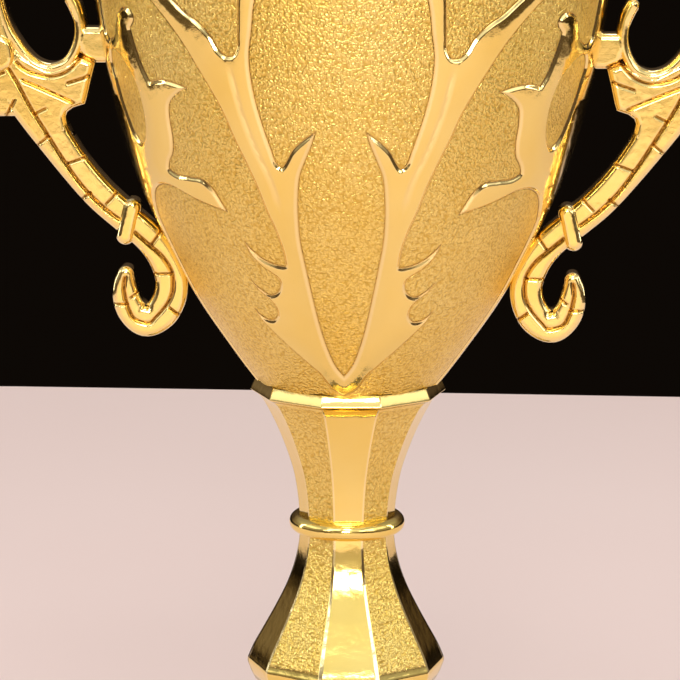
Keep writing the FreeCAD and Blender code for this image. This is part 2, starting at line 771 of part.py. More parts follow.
def nut(name, bottom):
    hexagon = doc.addObject("Part::RegularPolygon", name + "_hexagon")
    hexagon.Polygon = 6
    bind(hexagon, "Circumradius", size("nut_flats") / (2 * math.cos(math.pi / 6)))
    hexagon.setExpression("Placement.Base.z", bottom.text)
    block = doc.addObject("Part::Extrusion", name + "_block")
    block.Base = hexagon
    block.Dir = Vector(0, 0, 1)
    block.Solid = True
    bind(block, "LengthFwd", size("nut_height"))
    thread = cylinder(name + "_thread", size("rod_diameter") / 2, bottom, size("nut_height"))
    return cut(name, block, [thread])


def rod_stack():
    pocket_top = size("felt_thickness") + size("closing_plate") + NUT_POCKET_DEPTH
    spreader_top = size("rim_height") + BOWL_SHAPE[0][0] + FLOOR_THICKNESS + SPREADER_HEIGHT
    low_washer = pocket_top - WASHER_HEIGHT
    low_nut = low_washer - size("nut_height")
    high_nut = spreader_top + WASHER_HEIGHT
    low_end = low_nut - 0.9
    high_end = high_nut + size("nut_height") + 2.5
    radius = size("rod_diameter") / 2
    chamfer = 0.7
    rod = turned_body("tie_rod", [
        (0.0, low_end), (radius - chamfer, low_end), (radius, low_end + chamfer),
        (radius, high_end - chamfer), (radius - chamfer, high_end), (0.0, high_end),
    ])
    return [
        rod, washer("bottom_washer", low_washer), nut("bottom_nut", low_nut),
        washer("top_washer", spreader_top), nut("top_nut", high_nut),
    ]


# ---- build, check and write ---------------------------------------------------------------------

def build():
    parts = [
        felt_pad(), base_plate(), base_plate_screws(), base_weight(), base_cover(),
        base_trim_ring(), plate_tape(), name_plate(), foot(), lower_ring(), riser_seat(), riser(),
        stem_ring(), calyx(), bowl_half("bowl_front_half", True),
        bowl_half("bowl_back_half", False), bowl_rim(), bowl_spreader(),
        handle("handle_right", False), handle("handle_left", True), handle_washers(),
        handle_screws(),
    ]
    parts += rod_stack()
    doc.recompute()
    return parts


def check(parts):
    broken = [item.Name for item in doc.Objects if "Invalid" in item.State or "Error" in item.State]
    if broken:
        raise RuntimeError("failed objects: " + ", ".join(broken))
    for part in parts:
        if part.Shape.isNull() or not part.Shape.isValid():
            raise RuntimeError("bad shape: " + part.Label)


def write(parts):
    os.makedirs("parts", exist_ok=True)
    for part in parts:
        part.Shape.exportStep("parts/%s.step" % part.Label)
        box = part.Shape.BoundBox
        print("%-20s %2d solids %10.0f mm3  x %6.1f %6.1f  y %6.1f %6.1f  z %6.1f %6.1f" % (
            part.Label, len(part.Shape.Solids), part.Shape.Volume, box.XMin, box.XMax, box.YMin,
            box.YMax, box.ZMin, box.ZMax))


parts = build()
check(parts)
write(parts)
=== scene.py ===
import math

import bpy
import numpy as np
from mathutils import Matrix, Vector
from mathutils.geometry import delaunay_2d_cdt
from mathutils.kdtree import KDTree


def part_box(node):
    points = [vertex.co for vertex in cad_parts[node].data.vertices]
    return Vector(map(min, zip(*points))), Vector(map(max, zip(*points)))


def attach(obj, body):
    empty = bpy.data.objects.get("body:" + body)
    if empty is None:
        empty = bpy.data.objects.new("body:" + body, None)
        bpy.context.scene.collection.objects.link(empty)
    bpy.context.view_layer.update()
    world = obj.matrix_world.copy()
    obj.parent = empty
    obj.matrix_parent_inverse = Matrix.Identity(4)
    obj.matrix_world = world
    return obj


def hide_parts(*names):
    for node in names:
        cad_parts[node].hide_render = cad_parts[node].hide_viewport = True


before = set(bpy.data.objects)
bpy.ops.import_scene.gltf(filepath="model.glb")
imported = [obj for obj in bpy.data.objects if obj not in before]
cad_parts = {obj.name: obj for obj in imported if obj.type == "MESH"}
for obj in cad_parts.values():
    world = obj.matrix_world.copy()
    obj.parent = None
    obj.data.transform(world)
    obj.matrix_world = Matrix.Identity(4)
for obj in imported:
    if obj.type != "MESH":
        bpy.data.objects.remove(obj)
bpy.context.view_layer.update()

# A gold cup trophy: relief cup, scroll handles, ten-sided stem, black base. Shapes are worked out
# in millimetres in the CAD frame and turned into metres when a mesh is made.

MM = 0.001


def low(node):
    """Lowest corner of a CAD node, in millimetres."""
    return np.array(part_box(node)[0]) / MM


def high(node):
    """Highest corner of a CAD node, in millimetres."""
    return np.array(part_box(node)[1]) / MM


RIM = high("calyx")[2] - 1.2            # widest edge of the calyx; heights in the lists start here
STEM_TURN = math.radians(4.0)           # the stem is turned this much from the cup


# ---- curves ----

def hermite(knots, values, at):
    """Smooth curve through values at increasing knots, and its slope, at the places given."""
    knots = np.asarray(knots, float)
    values = np.asarray(values, float)
    at = np.clip(np.asarray(at, float), knots[0], knots[-1])
    gaps = np.diff(knots)
    rises = (np.diff(values, axis=0).T / gaps).T
    slopes = np.empty_like(values)
    slopes[0] = rises[0]
    slopes[-1] = rises[-1]
    if len(gaps) > 1:
        weights = gaps[1:] / (gaps[:-1] + gaps[1:])
        slopes[1:-1] = (rises[:-1].T * weights + rises[1:].T * (1 - weights)).T
        slopes[0] = 1.5 * rises[0] - 0.5 * slopes[1]
        slopes[-1] = 1.5 * rises[-1] - 0.5 * slopes[-2]
    i = np.clip(np.searchsorted(knots, at, side="right") - 1, 0, len(gaps) - 1)
    gap = gaps[i]
    u = (at - knots[i]) / gap
    if values.ndim > 1:
        u = u[:, None]
        gap = gap[:, None]
    value = ((1 + 2 * u) * (1 - u) ** 2 * values[i] + u * (1 - u) ** 2 * gap * slopes[i]
             + u * u * (3 - 2 * u) * values[i + 1] + u * u * (u - 1) * gap * slopes[i + 1])
    slope = (6 * u * (u - 1) * (values[i] - values[i + 1]) / gap
             + (3 * u * u - 4 * u + 1) * slopes[i] + (3 * u * u - 2 * u) * slopes[i + 1])
    return value, slope


def smooth(points, step=0.5, closed=False):
    """Points about step apart along a smooth curve through the points given."""
    points = np.asarray(points, float)
    wrap = 3 if closed else 0
    if closed:
        points = np.vstack([points[-wrap:], points, points[:wrap]])
    knots = np.concatenate([[0], np.cumsum(np.linalg.norm(np.diff(points[:, :2], axis=0), axis=1))])
    start = knots[wrap]
    end = knots[-wrap] if closed else knots[-1]
    count = max(2, int(round((end - start) / step)))
    at = np.linspace(start, end, count + 1)
    if closed:
        at = at[:-1]
    return hermite(knots, points, at)[0]


def step_up(x):
    """Smooth step from 0 at x = 0 to 1 at x = 1."""
    x = np.clip(x, 0, 1)
    return x * x * (3 - 2 * x)


def step_slope(x):
    x = np.clip(x, 0, 1)
    return 6 * x * (1 - x)


def columns(*parts):
    """Points from their coordinates; a coordinate that all share may be a single number."""
    return np.stack(np.broadcast_arrays(*parts), axis=1)


def unit(vectors):
    return vectors / np.maximum(np.linalg.norm(vectors, axis=1), 1e-9)[:, None]


UP = np.array([0.0, 0.0, 1.0])


# ---- distance to outlines ----

def search_tree(points):
    tree = KDTree(len(points))
    for i, point in enumerate(points):
        tree.insert(point, i)
    tree.balance()
    return tree


def nearest(line, tree, space, closed):
    """Distance from a line, unit vector away from it, place along it from 0 to 1, nearest corner."""
    corner = np.array([tree.find(point)[1] for point in space])
    count = len(line)
    best = np.full(len(space), np.inf)
    away = np.zeros((len(space), 3))
    where = np.zeros(len(space))
    for shift in (-1, 0):
        i = (corner + shift) % count if closed else np.clip(corner + shift, 0, count - 2)
        a = line[i]
        along = line[(i + 1) % count] - a
        t = np.einsum("ij,ij->i", space - a, along) / np.maximum(
            np.einsum("ij,ij->i", along, along), 1e-12)
        t = np.clip(t, 0, 1)
        gap = space - (a + along * t[:, None])
        length = np.linalg.norm(gap, axis=1)
        closer = length < best
        best[closer] = length[closer]
        away[closer] = unit(gap[closer])
        where[closer] = ((i + t) / (count - 1))[closer]
    return best, away, where, corner


class Outline:
    """A closed line in 3D, with the flat copy of it that says what is inside."""

    def __init__(self, flat, space=None):
        self.flat = flat
        self.space = with_depth(flat) if space is None else space
        self.inward = np.zeros((len(flat), 3))
        if space is None:
            along = unit(np.roll(flat, -1, axis=0) - np.roll(flat, 1, axis=0))
            x, y = flat.T
            turning = np.sign(np.sum(x * np.roll(y, -1) - np.roll(x, -1) * y))
            self.inward = turning * with_depth(columns(-along[:, 1], along[:, 0]))
        self.tree = search_tree(self.space)

    def distance(self, flat, space):
        """Signed distance, positive inside, and the unit vector away from the nearest point."""
        best, away, _, corner = nearest(self.space, self.tree, space, True)
        sign = np.where(inside(self.flat, flat), 1.0, -1.0)
        away = away * sign[:, None]
        touching = best < 1e-3
        away[touching] = self.inward[corner[touching]]
        return best * sign, away


class Groove:
    """A V-shaped groove along an open line, fading out at its two ends."""

    def __init__(self, space, depth, half_width, fade):
        self.space = space
        self.depth = depth
        self.half_width = half_width
        self.fade = fade
        self.tree = search_tree(space)

    def cut(self, space):
        """Depth of the groove at each point, how its floor rises, and 1 along its bottom, where shade is
        painted.
        """
        distance, away, where, _ = nearest(self.space, self.tree, space, False)
        fade = step_up(where / self.fade) * step_up((1 - where) / self.fade)
        share = distance / self.half_width
        u = np.clip(1 - share, 0, 1)
        rise = self.depth * fade * 1.5 * u ** 0.5 / self.half_width
        bottom = fade * np.clip(1.1 - 1.7 * share, 0, 1)
        return self.depth * fade * u ** 1.5, away * rise[:, None], bottom


def with_depth(flat):
    return columns(*flat.T, 0.0)


def inside(polygon, points):
    """Which points lie inside a closed polygon."""
    x, y = points[:, 0], points[:, 1]
    result = np.zeros(len(points), bool)
    for a, b in zip(polygon, np.roll(polygon, -1, axis=0)):
        crosses = (a[1] > y) != (b[1] > y)
        if not crosses.any():
            continue
        where = a[0] + (y - a[1]) / (b[1] - a[1] if b[1] != a[1] else 1e-12) * (b[0] - a[0])
        result ^= crosses & (x < where)
    return result


def union(fields):
    """Signed distance and direction of shapes taken together."""
    best, away = fields[0]
    best, away = best.copy(), away.copy()
    for other, other_away in fields[1:]:
        deeper = other > best
        best[deeper] = other[deeper]
        away[deeper] = other_away[deeper]
    return best, away


def less(field, hole):
    """A shape with a hole taken out of it."""
    best, away = field[0].copy(), field[1].copy()
    shallower = -hole[0] < best
    best[shallower] = -hole[0][shallower]
    away[shallower] = -hole[1][shallower]
    return best, away


# ---- meshes ----

def make_mesh(name, points, faces, normals=None, attributes=None):
    """A mesh object from points in millimetres."""
    mesh = bpy.data.meshes.new(name)
    mesh.from_pydata((np.asarray(points) * MM).tolist(), [], [list(f) for f in faces])
    mesh.validate()
    for polygon in mesh.polygons:
        polygon.use_smooth = True
    for key, values in (attributes or {}).items():
        layer = mesh.attributes.new(key, "FLOAT", "POINT")
        layer.data.foreach_set("value", np.asarray(values, np.float32))
    if normals is not None:
        mesh.normals_split_custom_set_from_vertices(np.asarray(normals, float).tolist())
    piece = bpy.data.objects.new(name, mesh)
    bpy.context.scene.collection.objects.link(piece)
    return piece


def ring_faces(lower, upper, count, flip=False):
    """Quads between two rings of count points, each given by the number of its first point."""
    following = [(k, (k + 1) % count) for k in range(count)]
    quads = [(lower + k, lower + m, upper + m, upper + k) for k, m in following]
    return [quad[::-1] for quad in quads] if flip else quads


def finish_piece(piece, material, nodes):
    piece.data.materials.append(material)
    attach(piece, "root")
    if nodes:
        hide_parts(*nodes)


def triangulate(points, edges):
    """Delaunay triangles over flat points, with the edges kept."""
    flat = [Vector((float(x), float(y))) for x, y in points]
    result = delaunay_2d_cdt(flat, [tuple(e) for e in edges], [], 0, 1e-6)
    return np.array([[v.x, v.y] for v in result[0]]), np.array(result[2])


class Layout:
    """Points and lines gathered for one flat triangulation."""

    def __init__(self):
        self.points = []
        self.edges = []
        self.free = []

    def line(self, points, keep=None, closed=False):
        """Adds a line; only stretches whose points are kept become edges."""
        keep = np.ones(len(points), bool) if keep is None else keep
        start = len(self.points)
        numbers = np.full(len(points), -1)
        numbers[keep] = start + np.arange(keep.sum())
        self.points.extend(points[keep].tolist())
        count = len(points)
        for i in range(count if closed else count - 1):
            a, b = numbers[i], numbers[(i + 1) % count]
            if a >= 0 and b >= 0:
                self.edges.append((a, b))

    def scatter(self, points):
        self.free.append(points)

    def triangles(self, gap, keep):
        """Triangulates, leaving out free points that crowd or that keep() refuses."""
        free = np.vstack(self.free)
        free = free[keep(free)]
        own = np.array(self.points)
        both = np.vstack([own, free])
        chosen = [i for i in thinned(both, gap) if i >= len(own)]
        return triangulate(np.vstack([own, both[chosen]]), self.edges)


def boundary_edges(triangles):
    """Directed edges that belong to one triangle only."""
    edges = {}
    for a, b, c in triangles.tolist():
        for edge in ((a, b), (b, c), (c, a)):
            edges[edge] = True
    return [(a, b) for a, b in edges if (b, a) not in edges]


# ---- materials ----

GRAIN_PER_METRE = 1700.0
GOLD_LIGHT = (0.96, 0.74, 0.24)
GOLD_DEEP = (0.93, 0.67, 0.16)
GOLD_PAINTED_HIGHLIGHT = (1.0, 0.81, 0.40)           # painted highlight: paler gold on bevels and sloped edges
GOLD_PAINTED_SHADE = (0.42, 0.26, 0.12)        # painted shade at the bottom of a groove and where the relief rises from the ground
GOLD_PIT_SHADE = (0.76, 0.67, 0.46)           # painted shade in the low places of the grain


def connect(tree, node, **inputs):
    """Gives sockets of a node a value or a source; an underscore stands for a space in a name."""
    for key, value in inputs.items():
        feed(tree, node.inputs[key.replace("_", " ")], value)


def feed(tree, socket, value):
    """Links a socket to another node's output, or gives it a fixed value."""
    if isinstance(value, bpy.types.NodeSocket):
        tree.links.new(value, socket)
    else:
        socket.default_value = value


def add(tree, kind, settings=(), **inputs):
    """A node with its own settings and with its sockets connected."""
    node = tree.nodes.new(kind)
    for key, value in dict(settings).items():
        setattr(node, key, value)
    connect(tree, node, **inputs)
    return node


def new_material(name):
    material = bpy.data.materials.new(name)
    material.use_nodes = True
    tree = material.node_tree
    return material, tree, tree.nodes["Principled BSDF"]


def ramp(tree, source, stops):
    """Colour ramp driven by a value."""
    node = add(tree, "ShaderNodeValToRGB", Fac=source)
    elements = node.color_ramp.elements
    while len(elements) < len(stops):
        elements.new(0.5)
    for element, (position, colour) in zip(elements, stops):
        element.position = position
        element.color = (*colour, 1.0)
    return node.outputs["Color"]


def object_place(tree):
    return add(tree, "ShaderNodeTexCoord").outputs["Object"]


def mark(tree, name):
    """A number that the mesh carries at each of its points."""
    return add(tree, "ShaderNodeAttribute", {"attribute_name": name}).outputs["Fac"]


def noise(tree, scale, detail=2.0, roughness=0.5):
    """Noise over the object's own coordinates, scale in cells per metre."""
    return add(tree, "ShaderNodeTexNoise", Vector=object_place(tree), Scale=scale, Detail=detail,
               Roughness=roughness).outputs["Fac"]


def bump(tree, height, strength, distance):
    """Normal tilted by a height, which is 1 at the distance given in metres."""
    return add(tree, "ShaderNodeBump", Strength=strength, Distance=distance,
               Height=height).outputs["Normal"]


def span(tree, source, low_end, high_end):
    """A value in 0..1 stretched between two ends."""
    return add(tree, "ShaderNodeMapRange", Value=source, To_Min=low_end, To_Max=high_end).outputs["Result"]


def combine(tree, operation, a, b):
    node = add(tree, "ShaderNodeMath", {"operation": operation})
    feed(tree, node.inputs[0], a)
    feed(tree, node.inputs[1], b)
    return node.outputs["Value"]


def pebbles(tree):
    """Height of a fine pebbled grain, 0 to about 1."""
    place = object_place(tree)
    wobble = add(tree, "ShaderNodeTexNoise", Vector=place, Scale=900.0, Detail=1.0)
    shift = add(tree, "ShaderNodeMixRGB", {"blend_type": "LINEAR_LIGHT"}, Fac=0.0005, Color1=place,
                Color2=wobble.outputs["Color"])
    cells = add(tree, "ShaderNodeTexVoronoi", {"feature": "SMOOTH_F1"}, Vector=shift.outputs["Color"],
                Scale=GRAIN_PER_METRE, Smoothness=0.35)
    return combine(tree, "SUBTRACT", 1.0, cells.outputs["Distance"])


def tinted(tree, colour, blend, amount, other):
    """A colour mixed with another by an amount that varies over the surface."""
    return add(tree, "ShaderNodeMixRGB", {"blend_type": blend}, Fac=amount, Color1=colour,
               Color2=(*other, 1.0)).outputs["Color"]


def gold_material(name, grained):
    """Plated gold, with painted highlight on bevels and painted shade in grooves and grain pits; pebble
    grained where the mesh says so.
    """
    material, tree, shader = new_material(name)
    colour = ramp(tree, noise(tree, 45.0, 3.0), [(0.3, GOLD_DEEP), (0.7, GOLD_LIGHT)])
    # painted highlight: sloped edges and bevels are coloured paler
    colour = tinted(tree, colour, "MIX", mark(tree, "edge"), GOLD_PAINTED_HIGHLIGHT)
    # painted shade: groove bottoms and the foot of the relief are darkened
    colour = tinted(tree, colour, "MULTIPLY", mark(tree, "painted_shade"), GOLD_PAINTED_SHADE)
    rough = span(tree, noise(tree, 220.0, 4.0, 0.6), 0.07, 0.16)
    ripple = combine(tree, "MULTIPLY", noise(tree, 420.0, 1.0), 0.2)
    speckle = combine(tree, "MULTIPLY", noise(tree, 2600.0, 1.0), 0.03)
    height = combine(tree, "ADD", ripple, speckle)
    if grained:
        amount = mark(tree, "grain")
        stones = pebbles(tree)
        # painted shade: the low places of the grain are darkened
        pit_shade = combine(tree, "MULTIPLY", span(tree, stones, 1.5, -0.8), amount)
        colour = tinted(tree, colour, "MULTIPLY", pit_shade, GOLD_PIT_SHADE)
        grain = combine(tree, "MULTIPLY", stones, amount)
        height = combine(tree, "ADD", height, combine(tree, "MULTIPLY", grain, 0.95))
        rough = combine(tree, "ADD", rough, combine(tree, "MULTIPLY", amount, 0.23))
    connect(tree, shader, Metallic=1.0, Base_Color=colour, Roughness=rough,
            Normal=bump(tree, height, 0.9, 0.0003))
    return material


def plain_material(name, dark, light, rough, scale, depth, metallic=0.0):
    """A surface with cloudy colour, uneven gloss and a little texture."""
    material, tree, shader = new_material(name)
    cloud = noise(tree, scale, 4.0, 0.6)
    connect(tree, shader, Metallic=metallic, Base_Color=ramp(tree, cloud, [(0.35, dark), (0.65, light)]),
            Roughness=span(tree, noise(tree, scale * 3, 3.0), *rough),
            Normal=bump(tree, noise(tree, scale * 2, 4.0), 0.5, depth))
    return material


def brushed_material(name, dark, light, rough):
    """Metal brushed along X, for the plate."""
    material, tree, shader = new_material(name)
    stretch = add(tree, "ShaderNodeMapping", Vector=object_place(tree), Scale=(60.0, 60.0, 9000.0))
    lines = add(tree, "ShaderNodeTexNoise", Vector=stretch.outputs["Vector"], Scale=1.0,
                Detail=3.0).outputs["Fac"]
    connect(tree, shader, Metallic=1.0, Base_Color=ramp(tree, lines, [(0.3, dark), (0.7, light)]),
            Roughness=span(tree, lines, *rough), Normal=bump(tree, lines, 0.3, 0.00003))
    return material


GOLD = gold_material("gold_polished", False)
GOLD_GRAINED = gold_material("gold_grained", True)
BLACK = plain_material("base_black", (0.012, 0.012, 0.013), (0.020, 0.019, 0.019), (0.16, 0.26), 120,
                       0.00002)
STEEL = plain_material("zinc_steel", (0.52, 0.53, 0.54), (0.68, 0.68, 0.67), (0.22, 0.38), 260,
                       0.00002, 1.0)
WEIGHT = plain_material("cast_weight", (0.20, 0.19, 0.18), (0.33, 0.32, 0.30), (0.75, 0.92), 160, 0.0003)
BOARD = plain_material("closing_board", (0.16, 0.115, 0.075), (0.23, 0.17, 0.12), (0.6, 0.8), 300,
                       0.0001)
FELT = plain_material("felt_pad", (0.012, 0.040, 0.026), (0.024, 0.065, 0.044), (0.9, 1.0), 1400, 0.0004)
TAPE = plain_material("plate_tape", (0.62, 0.62, 0.58), (0.74, 0.73, 0.68), (0.5, 0.7), 400, 0.00005)
SPREADER = plain_material("spreader", (0.50, 0.50, 0.48), (0.62, 0.61, 0.58), (0.35, 0.5), 200, 0.00003)
PLATE = brushed_material("plate_gold", (0.78, 0.55, 0.24), (0.92, 0.70, 0.34), (0.22, 0.36))


# ---- the cup's turned surface ----

BOWL_SHAPE = [
    (-8.0, 11.2), (0.0, 18.5), (11.2, 26.8), (22.0, 33.9), (31.4, 38.8), (46.9, 45.9),
    (64.5, 51.2), (86.5, 55.3), (107.0, 57.3), (122.0, 57.2), (133.0, 57.9),
]
BOWL_WALL = 1.8
FLAT_RADIUS = 45.0                      # turns an angle into millimetres for the flat layout

_shape = smooth(BOWL_SHAPE, 0.1)
_tangent = unit(np.gradient(_shape, axis=0))
_length = np.concatenate([[0], np.cumsum(np.linalg.norm(np.diff(_shape, axis=0), axis=1))])
BOWL_LENGTH = _length[-1]


def arc_at(height):
    """Length along the bowl's profile at a height above the calyx rim."""
    beyond = np.minimum(height - _shape[0, 0], 0) + np.maximum(height - _shape[-1, 0], 0)
    return np.interp(height, _shape[:, 0], _length) + beyond


def bowl_radius(height):
    return np.interp(height, _shape[:, 0], _shape[:, 1])


def profile_at(arc):
    """Height, radius and outward slope of the bowl's profile at a length along it."""
    beyond = np.minimum(arc, 0) + np.maximum(arc - BOWL_LENGTH, 0)
    height = np.interp(arc, _length, _shape[:, 0]) + beyond
    radius = np.interp(arc, _length, _shape[:, 1])
    rise = np.interp(arc, _length, _tangent[:, 0])
    spread = np.interp(arc, _length, _tangent[:, 1])
    return height, radius, rise, spread


def bowl_frame(turn, arc):
    """Point, outward normal, sideways and upward directions on the bowl."""
    height, radius, rise, spread = profile_at(arc)
    out = columns(np.sin(turn), -np.cos(turn), 0.0)
    side = columns(np.cos(turn), np.sin(turn), 0.0)
    point = out * radius[:, None] + UP * (RIM + height)[:, None]
    normal = out * rise[:, None] - UP * spread[:, None]
    climb = out * spread[:, None] + UP * rise[:, None]
    return point, normal, side, climb


# ---- the relief on the cup ----
# Outlines are (degrees round from the front, height above the calyx rim); stretches meet at corners.

LEAF = [
    [(0, 2.2), (2, 2.4), (6.3, 3.3), (9.2, 4.7), (12.5, 7.4), (16.5, 9.4), (19.8, 11.2), (23.3, 13.2),
     (26.5, 15.3), (30, 17.8), (32.5, 19.8), (34.2, 22.8)],
    [(34.2, 22.8), (32.3, 21.3), (29.5, 20.4), (26.5, 20.6), (24.6, 22.0), (24.4, 23.2), (25.6, 24.9),
     (27.6, 26.2), (29.8, 27.6), (31.5, 29.6)],
    [(31.5, 29.6), (28.5, 27.6), (25.5, 26.5), (22.8, 27.0), (21, 28.4), (20.6, 30.2), (22.5, 31.5),
     (25.6, 33), (28.6, 35.6), (29.6, 38.7)],
    [(29.6, 38.7), (27.6, 36.8), (24.5, 34.9), (21, 33.9), (17.6, 33.6)],
    [(17.6, 33.6), (17.5, 35.5), (18.8, 41.9), (20.5, 46.3), (22.3, 51.9), (24.4, 56.9), (26.7, 61.9),
     (28.8, 67.2), (32, 72.7), (34.4, 76.3), (37.6, 80.8), (41.1, 84.7), (46, 89), (52, 93.5), (56, 99)],
    [(56, 99), (48, 95.5), (41, 91.5), (36.5, 88.2), (33, 86.2), (29.7, 83.3), (27.8, 80.4),
     (26.4, 79.4)],
    [(26.4, 79.4), (24.6, 79.6), (23.4, 81.5), (23.1, 84.5), (22.8, 88), (22.5, 92), (21, 98),
     (17.5, 104), (12.5, 109), (8, 112.5)],
    [(8, 112.5), (10.5, 107.5), (14.5, 101.5), (17.3, 95.5), (18.9, 90), (19.6, 85.5), (20.6, 79.7),
     (20.4, 74), (19.4, 68.3), (18.2, 63.8), (17, 60), (15.6, 56.6), (14.6, 56)],
    [(14.6, 56), (13.9, 56.8), (11.6, 60), (9.1, 62.1), (5.8, 64.2)],
    [(5.8, 64.2), (7.0, 61), (8.6, 57.8), (10.1, 54.7), (11.1, 49.7), (11.6, 44.5), (11.7, 39.5),
     (11.1, 34), (10.3, 28.5), (9.6, 24.5), (8.7, 20), (6.9, 14.5), (4.3, 10.2), (0, 7.2)],
]
SIDE = [
    [(90, -13), (80, -13), (79, 5), (78.5, 15), (77, 26), (75.5, 34), (73.5, 39.5), (70, 42.5),
     (66, 45.6), (62, 47.6), (57, 48.9), (51, 48.8), (45, 47.4), (40.5, 46.4), (36, 45.6), (32.6, 45)],
    [(32.6, 45), (34, 47.4), (35.8, 50), (38.4, 51.7), (43, 52), (48.8, 52.2), (51.2, 53)],
    [(51.2, 53), (50, 54.7), (47.6, 56.9), (46.3, 60.2), (46, 64.1), (45, 67.6), (42.3, 69.8),
     (38, 71.7)],
    [(38, 71.7), (41.7, 72.5), (46.4, 72.8), (51.1, 72)],
    [(51.1, 72), (52.6, 74), (54.6, 78), (56.4, 83)],
    [(56.4, 83), (54.2, 85.6), (55.5, 87), (58.5, 87.3), (61.5, 86.2), (63.7, 83.6), (65.5, 81.2),
     (68.5, 79.7), (71.5, 79.3), (73.8, 80.5)],
    [(73.8, 80.5), (74.6, 84), (75.5, 90), (76, 98), (76, 118), (75.5, 126), (75, 138), (90, 138)],
]
OVAL = [
    (56.9, 65), (57.2, 69), (59, 72.6), (62.6, 75.2), (66.5, 76.7), (70.5, 77), (72.6, 74.5),
    (71, 70.2), (69.8, 66.5), (67.9, 62), (65.8, 58.8), (62.4, 57.5), (58.8, 60.1),
]
CREASE = [(25.5, 79), (24.5, 73), (23.2, 67), (20.8, 60), (17.5, 52.5), (16, 45)]
BAND_BOTTOM = 124.0                     # the polished band under the lip starts here
RELIEF_HEIGHT = 0.45
RELIEF_BEVEL = 0.95                     # width of the slope along its edge
RELIEF_DOME = 0.4                       # how much higher wide parts stand
DOME_REACH = 4.0                        # distance inside the edge over which they rise
OUTLINE_SHADE = 0.6                  # painted shade on the gold where the relief rises from the ground
OUTLINE_PLACE = 0.05                    # distance of the darkest painted-shade line inside the relief's edge
OUTLINE_SPREAD = 0.16
GRAIN_FADE = 0.12                       # the grain fades out this far either side of the edge
SLOPE_GAIN = 1.5                        # how fast steepness turns into painted highlight
EDGE_OFFSETS = (-0.45, -0.15, 0.14, 0.3, 0.48, 0.68, 0.95, 1.5, 2.3)
CREASE_OFFSETS = (-1.1, -0.75, -0.35, 0.0, 0.35, 0.75, 1.1)
GRID_STEP = 1.15
CREASE_DEPTH = 0.28
CREASE_WIDTH = 1.1


def bowl_layout(points):
    """Flat layout and 3D places of points given as degrees round and height."""
    turn = np.radians(points[:, 0])
    arc = arc_at(points[:, 1])
    return columns(turn * FLAT_RADIUS, arc), bowl_frame(turn, arc)[0]


def mirrored(points, about):
    """An open outline followed by its mirror image across a line of constant angle."""
    image = points[::-1].copy()
    image[:, 0] = 2 * about - image[:, 0]
    return np.vstack([points, image])


def open_outline(stretches, step):
    runs = [smooth(s, step)[:-1] for s in stretches]
    return np.vstack(runs + [[stretches[-1][-1]]])


def relief_outlines():
    """Each outline as a list of points, and the closed shape that it belongs to."""
    leaf = open_outline(LEAF, 0.6)
    side = open_outline(SIDE, 0.6)
    oval = smooth(OVAL, 0.6, closed=True)
    return [(leaf, mirrored(leaf, 0.0)), (side, mirrored(side, 90.0)), (oval, oval)]


class Relief:
    """Signed distance to the relief's edge anywhere on the quarter of the cup."""

    def __init__(self):
        self.lines = relief_outlines()
        self.leaf, self.side, self.oval = [Outline(*bowl_layout(whole)) for _, whole in self.lines]
        self.crease = Groove(bowl_layout(smooth(CREASE, 0.8))[1], CREASE_DEPTH, CREASE_WIDTH, 0.15)

    def field(self, flat):
        turn = flat[:, 0] / FLAT_RADIUS
        point, normal, side, climb = bowl_frame(turn, flat[:, 1])
        band = flat[:, 1] - arc_at(BAND_BOTTOM)
        leafy = less(self.side.distance(flat, point), self.oval.distance(flat, point))
        return union([self.leaf.distance(flat, point), leafy, (band, climb)])


def relief_height(distance):
    """Height of the relief over the ground and its slope, at a distance inside its edge."""
    u = distance / RELIEF_BEVEL
    dome = RELIEF_DOME * np.exp(-np.maximum(distance, 0) / DOME_REACH)
    height = RELIEF_HEIGHT * step_up(u) + RELIEF_DOME - dome
    slope = RELIEF_HEIGHT * step_slope(u) / RELIEF_BEVEL + np.where(distance > 0, dome / DOME_REACH, 0)
    return height, slope


def painted_highlight(slope):
    """How much paler a sloped edge is painted than the flat face beside it, 0 to 1: a painted highlight.
    """
    return 1 - np.exp(-SLOPE_GAIN * np.linalg.norm(slope, axis=1))


def beside(flat, offset, closed_line):
    """Points moved sideways by a real distance from a line in the bowl's flat layout."""
    radius = profile_at(flat[:, 1])[1]
    scale = radius / FLAT_RADIUS
    if closed_line:
        along = np.roll(flat, -1, axis=0) - np.roll(flat, 1, axis=0)
    else:
        along = np.gradient(flat, axis=0)
    real = unit(along * columns(scale, 1.0))
    return flat + offset * columns(-real[:, 1] / scale, real[:, 0])


def thinned(points, gap):
    """Drops points that come closer than gap to one kept before."""
    tree = {}
    kept = []
    for i, (x, y) in enumerate(points):
        cell = (int(x // gap), int(y // gap))
        near = [tree.get((cell[0] + a, cell[1] + b)) for a in (-1, 0, 1) for b in (-1, 0, 1)]
        if all(p is None or (p[0] - x) ** 2 + (p[1] - y) ** 2 > gap * gap for p in near):
            tree[cell] = (x, y)
            kept.append(i)
    return kept


